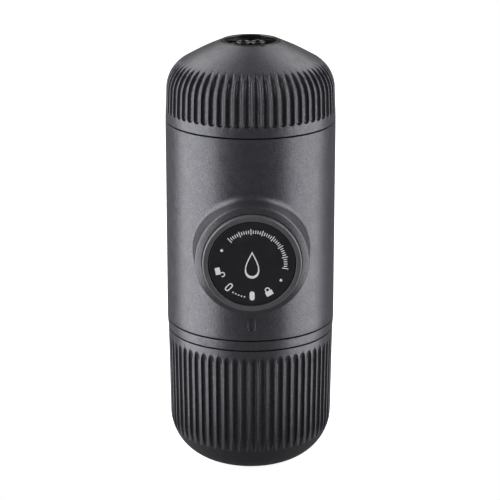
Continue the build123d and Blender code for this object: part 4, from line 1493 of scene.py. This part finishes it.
# ---------------------------------------------------------------------------------- tank
@dataclass(frozen=True)
class Tank:
    """The smoked water tank with its collar: level ticks outside and a thread inside its mouth."""

    radius: float = 26.0
    wall: float = 1.5
    shoulder: float = 15.5
    collar_rim_r: float = 30.5
    collar_foot_r: float = 30.2
    ticks: tuple[float, ...] = (14.0, 19.0, 24.0, 29.0, 34.0, 39.0)
    tick_reach: Pair = (10, 16)  # half of a short and of a long tick, in degrees
    tick_steps: int = 12
    tick_off: float = 0.02       # the ticks' middle line lies this far off the wall
    tick_section: tuple[Point, ...] = ((-0.02, -0.25), (0.06, -0.2), (0.06, 0.2), (-0.02, 0.25))
    thread: Thread = Thread(24.5, 24.33, 48.9, 2.6, 1.6)

    def build(self) -> None:
        """Models the tank and the collar."""
        low, high = (corner.z for corner in span("water_tank"))
        inner, floor_top = self.radius - self.wall, low + self.wall
        bm = lathed(rounded((0, low), (self.radius, low, self.shoulder), (self.radius, high, 0.3),
                            (inner, high, 0.3), (inner, floor_top, self.shoulder - self.wall), (0, floor_top),
                            step=5.0), 144)
        self.thread.cut(bm)
        Piece("tank_dressed", Body.TANK, TANK_SMOKE, ("water_tank",)).build(bm)
        self.level_ticks()
        low, high = (corner.z for corner in span("tank_collar"))
        bore = self.radius + 0.05
        collar = rounded((bore, low + 1), (bore, low), (self.collar_foot_r, low, 0.3),
                         (self.collar_rim_r, high, 0.3), (bore, high), (bore, low + 1))
        Piece("tank_collar_dressed", Body.TANK, SHELL, ("tank_collar",)).build(lathed(collar, 240))

    def level_ticks(self) -> None:
        """Models the level ticks, which are short and long by turns."""
        bm = bmesh.new()
        for number, level in enumerate(self.ticks):
            reach = math.radians(self.tick_reach[number % 2])
            angles = [-math.pi / 2 + reach * (2 * k / self.tick_steps - 1)
                      for k in range(self.tick_steps + 1)]
            path = [UPRIGHT.at(self.radius + self.tick_off, level, angle) for angle in angles]
            sweep(bm, path, [UPRIGHT.spoke(angle) for angle in angles], [self.tick_section] * len(path))
        Piece("tank_level_ticks", Body.TANK, LEVEL_WHITE).build(bm)


# ---------------------------------------------------------------------------------- inside
@dataclass(frozen=True)
class Mechanism:
    """The threads, springs and screws inside the body."""

    socket_thread: Thread = Thread(23.9, 24.25, 48.6, 2.6, 1.6)
    neck_thread: Thread = Thread(26.0, 26.13, 130.6, 2.4, 2.0, foot=0.5)
    frame_screw: Screw = Screw(2.8, 1.6, 1.5, 10.0, 1.15)
    ear_screw: Screw = Screw(1.9, 1.5, 1.0, 4.3, 0.8)
    pivot_screw: Screw = Screw(4.5, 1.6, 1.5, 8.8, 1.7)
    return_coil: Coil = Coil(11.3, 0.7, 8, sides=12, steps=48)
    valve_coil: Coil = Coil(2.0, 0.25, 5, sides=8, steps=24)

    def build(self) -> None:
        """Models the threads, the springs and the screws."""
        for name, thread in (("socket_thread", self.socket_thread), ("neck_thread", self.neck_thread)):
            bm = bmesh.new()
            thread.cut(bm)
            Piece(name, Body.MAIN, FRAME_PLASTIC).build(bm)
        self.springs()
        self.screws()

    def spring(self, name: str, node: str, coil: Coil, spindle: Spindle, length: float,
               bodies: tuple[Body, Body]) -> None:
        """Models a spring between the places of its start and its end.

        Args:
            name: The piece's name.
            node: The node that it stands for.
            coil: The spring's sizes.
            spindle: Its axis, which starts at its first end.
            length: From its first end to its second.
            bodies: The bodies at its ends, which the piece does not ride on.
        """
        bm = bmesh.new()
        coil.add(bm, spindle, length)
        piece = Piece(name, bodies[0], SPRING_STEEL, (node,)).shape(bm)
        start, end = spindle.at(0, 0, 0) * MM, spindle.at(0, length, 0) * MM
        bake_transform(piece)
        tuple(start)
        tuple(end)

    def springs(self) -> None:
        """Models the return spring and the valve springs."""
        low, high = span("return_spring")
        middle = centre_of("return_spring")
        back = Spindle(Vector((middle.x, high.y, middle.z)), -Y)
        self.spring("return_coil", "return_spring", self.return_coil, back, high.y - low.y,
                    (Body.MAIN, Body.PISTON))
        for name, node, body in (("inlet_coil", "inlet_valve_spring", Body.INLET_BALL),
                                 ("outlet_coil", "outlet_valve_spring", Body.OUTLET_BALL)):
            low, high = span(node)
            middle = centre_of(node)
            down = Spindle(Vector((middle.x, middle.y, high.z)), -Z)
            self.spring(name, node, self.valve_coil, down, high.z - low.z, (Body.MAIN, body))

    def screws(self) -> None:
        """Models the screws where the frame has them."""
        self.deck_screws("lower_screws", "lower_frame_screws", -1)
        self.deck_screws("upper_screws", "upper_frame_screws", 1)
        low, high = span("sleeve_screws")
        reach, seat = self.ear_screw.head_r, high.y - self.ear_screw.head_h
        self.ear_screw.build("ear_screws", Body.MAIN, "sleeve_screws", [
            Spindle(Vector((x, seat, z)), Y) for x in (low.x + reach, high.x - reach)
            for z in (low.z + reach, high.z - reach)])
        seat = span("pivot_screw")[0].y + self.pivot_screw.head_h
        pivot = Spindle(Vector((0, seat, centre_of("pivot_screw").z)), -Y)
        self.pivot_screw.build("pivot_screw_dressed", Body.PISTON, "pivot_screw", [pivot])

    def deck_screws(self, name: str, node: str, way: int) -> None:
        """Models the two screws of a deck, with their heads at its top for way 1 and below it for -1.

        Args:
            name: The piece's name.
            node: The node that they stand for.
            way: 1 or -1.
        """
        low, high = span(node)
        screw = self.frame_screw
        seat = high.z - screw.head_h if way > 0 else low.z + screw.head_h
        screw.build(name, Body.MAIN, node, [Spindle(Vector((x, centre_of(node).y, seat)), Z * way)
                                            for x in (low.x + screw.head_r, high.x - screw.head_r)])


@dataclass(frozen=True)
class Brewer:
    """The shower screen with its screw, and the coffee basket with its screen."""

    shower_hole_r: float = 0.45
    shower_rings: tuple[tuple[float, int], ...] = ((5.6, 16), (7.6, 22), (9.6, 28), (11.6, 34), (13.6, 40),
                                                   (15.6, 46), (17.6, 52), (19.3, 58))
    screen_hole_r: float = 0.32
    screen_step: float = 1.45
    screen_rim: float = 0.8      # least width of the screen's rim without holes
    flange_r: float = 22.6
    basket_r: float = 20.9
    basket_wall: float = 0.7
    screw: Screw = Screw(2.8, 1.6, 1.5, 4.0, 1.15)

    def build(self) -> None:
        """Models the parts."""
        low, high = (corner.z for corner in span("shower_screen"))
        holes = [circle(Z * low, self.screw.shank_r + 0.05, 24)]
        holes += holes_in_rings(self.shower_rings, self.shower_hole_r, low, 10, 0.5)
        self.screen("shower_grille", Body.MAIN, "shower_screen", holes)
        self.screw.build("shower_screw_dressed", Body.MAIN, "shower_screw", [Spindle(Z * high)])

        low, high = (corner.z for corner in span("filter_basket"))
        inner, flange_top = self.basket_r - self.basket_wall, low + self.basket_wall
        basket = rounded((inner, low + 1), (inner, low, 0.4), (self.flange_r, low, 0.2),
                         (self.flange_r, flange_top, 0.2), (self.basket_r, flange_top, 0.5),
                         (self.basket_r, high, 0.2), (inner, high, 0.2), (inner, low + 1))
        Piece("basket_dressed", Body.BASKET, FILTER_STEEL, ("filter_basket",)).build(lathed(basket, 128))

        low, high = span("filter_screen")
        count = int(((high.x - low.x) / 2 - self.screen_rim) / self.screen_step)
        rings = [(self.screen_step * k, 6 * k) for k in range(1, count + 1)]
        self.screen("filter_screen_dressed", Body.BASKET, "filter_screen",
                    holes_in_rings(rings, self.screen_hole_r, low.z, 6))

    @staticmethod
    def screen(name: str, body: Body, node: str, holes: Sequence[Ring]) -> None:
        """Models a round screen with holes in the place of a node.

        Args:
            name: The piece's name.
            body: What it rides on.
            node: The node.
            holes: The outlines of its holes.
        """
        low, high = span(node)
        bm = bmesh.new()
        plate(bm, [circle(Z * low.z, (high.x - low.x) / 2, 96), *holes], Z * (high.z - low.z))
        Piece(name, body, FILTER_STEEL, (node,)).build(bm)


# ---------------------------------------------------------------------------------- studio
@dataclass(frozen=True)
class Softbox:
    """A lamp with an even square face."""

    name: str
    place: Vector
    aim: Vector
    size: Pair
    watts: float

    def build(self) -> None:
        """Hangs the lamp."""
        light = bpy.data.lights.new(self.name, "AREA")
        light.shape = "RECTANGLE"
        light.size, light.size_y = self.size
        light.energy = self.watts
        lamp = added(self.name, light)
        lamp.location = self.place
        lamp.rotation_euler = (self.aim - self.place).to_track_quat("-Z", "Y").to_euler()


SIDE = Vector((0, -0.05, 0.2))   # what the side lamps face
MIDDLE = Vector((0, 0, 0.09))
LAMPS = (
    Softbox("left_softbox", Vector((-0.52, -0.12, 0.2)), SIDE, (0.64, 1.10), 9.4),
    Softbox("right_softbox", Vector((0.52, -0.12, 0.2)), SIDE, (0.56, 1.10), 6.9),
    Softbox("left_rear_softbox", Vector((-0.37, 0.44, 0.69)), MIDDLE, (0.52, 0.52), 2.15),
    Softbox("right_rear_softbox", Vector((0.39, 0.44, 0.69)), MIDDLE, (0.52, 0.52), 2.0),
)


@dataclass(frozen=True)
class Studio:
    """The pale floor, the lamps and the camera."""

    floor_size: Pair = (0.13, 3.0)
    target: Vector = Vector((-0.0002, 0, 0.0789))
    distance: float = 0.7674
    elevation: float = 17.32
    azimuth: float = -0.75
    lens: float = 151.2
    sensor: float = 36.0
    sky: float = 0.06            # the sky's strength as a light
    mirrored: float = 0.10       # share of the stage's white that a reflection shows
    floor_tone: float = 0.62
    floor_dim: float = 0.03      # the floor's tone as a source of bounced light
    floor_glow: float = 0.90
    lamps: tuple[Softbox, ...] = LAMPS

    def build(self) -> None:
        """Sets up the studio."""
        self.floor()
        self.world()
        self.camera()
        for lamp in self.lamps:
            lamp.build()
        bpy.context.scene.view_settings.view_transform = "Standard"

    def floor(self) -> None:
        """Lays a pale floor that shows white to the camera and keeps the shadow."""
        bm = bmesh.new()
        bmesh.ops.create_grid(bm, x_segments=1, y_segments=1, size=0.5,
                              matrix=Matrix.Diagonal((*self.floor_size, 1, 1)))
        mesh = bpy.data.meshes.new("floor")
        bm.to_mesh(mesh)
        bm.free()
        sheet = MaterialSheet("floor_pale")
        tone = sheet.add("ShaderNodeMapRange", To_Min=self.floor_dim, To_Max=self.floor_tone)
        sheet.link(self.seen(sheet), 0, tone, "Value")
        sheet.link(tone, 0, sheet.shader, "Base Color")
        sheet.shader.inputs["Roughness"].default_value = 0.9
        sheet.shader.inputs["Specular IOR Level"].default_value = 0.0
        glow = sheet.add("ShaderNodeEmission")
        both = sheet.add("ShaderNodeAddShader")
        strength = sheet.add("ShaderNodeMath", operation="MULTIPLY")
        strength.inputs[1].default_value = self.floor_glow
        sheet.link(self.seen(sheet), 0, strength, 0)
        sheet.link(strength, 0, glow, "Strength")
        sheet.link(sheet.shader, "BSDF", both, 0)
        sheet.link(glow, 0, both, 1)
        sheet.link(both, 0, sheet.output, "Surface")
        mesh.materials.append(sheet.material)
        added("floor", mesh)

    def seen(self, sheet: NodeSheet) -> Node:
        """How white the stage shows: fully to the camera and through glass, dimmer in a reflection.

        Args:
            sheet: The nodes that get it.
        Returns:
            The node with the whiteness.
        """
        path = sheet.add("ShaderNodeLightPath")
        clear, shown = (sheet.add("ShaderNodeMath", operation="MAXIMUM") for _ in range(2))
        mirrored = sheet.add("ShaderNodeMath", operation="MULTIPLY")
        mirrored.inputs[1].default_value = self.mirrored
        sheet.link(path, "Is Camera Ray", clear, 0)
        sheet.link(path, "Is Transmission Ray", clear, 1)
        sheet.link(path, "Is Glossy Ray", mirrored, 0)
        sheet.link(clear, 0, shown, 0)
        sheet.link(mirrored, 0, shown, 1)
        return shown

    def world(self) -> None:
        """A dim even sky that shows white to the camera."""
        world = bpy.data.worlds.new("studio")
        bpy.context.scene.world = world
        world.use_nodes = True
        sheet = NodeSheet(world.node_tree)
        background = sheet.tree.nodes["Background"]
        background.inputs["Color"].default_value = (1, 1, 1, 1)
        level = sheet.add("ShaderNodeMapRange", To_Min=self.sky, To_Max=1.0)
        sheet.link(self.seen(sheet), 0, level, "Value")
        sheet.link(level, 0, background, "Strength")

    def camera(self) -> None:
        """Places the camera."""
        lens = bpy.data.cameras.new("camera")
        lens.lens = self.lens
        lens.sensor_width = self.sensor
        camera = added("camera", lens)
        around, up = math.radians(self.azimuth), math.radians(self.elevation)
        back = Vector((math.sin(around) * math.cos(up), -math.cos(around) * math.cos(up), math.sin(up)))
        camera.location = self.target + back * self.distance
        camera.rotation_euler = (-back).to_track_quat("-Z", "Y").to_euler()
        bpy.context.scene.camera = camera


FRAME_FINISHES = {
    GUIDE_BLACK: ("guide_sleeve", "piston_barrel", "outlet_core"),
    FRAME_PLASTIC: ("tank_socket", "brew_head", "pump_block", "rod_guide", "inlet_valve_seat",
                    "outlet_valve_plug", "piston_head"),
    RUBBER: ("cup_grip_ring", "tank_gasket", "piston_seal", "air_vent_valve", "brew_gasket", "outlet_seal"),
    FILTER_STEEL: ("intake_strainer",),
    ROD_STEEL: ("piston_rod", "pump_cylinder", "thrust_washer"),
    BALL_STEEL: ("inlet_valve_ball", "outlet_valve_ball"),
}


def main() -> None:
    """Builds the sub-assemblies in order."""
    logging.basicConfig(level=logging.INFO, format="%(message)s")
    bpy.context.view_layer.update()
    for assembly in (Studio(), Cup(), Tank(), Casing(), Knob(), Mechanism(), Brewer(), OutletHead(),
                     Nozzle()):
        assembly.build()
    for finish, nodes in FRAME_FINISHES.items():
        for node in nodes:
            dress(node, finish)


if __name__ == "__main__":
    main()
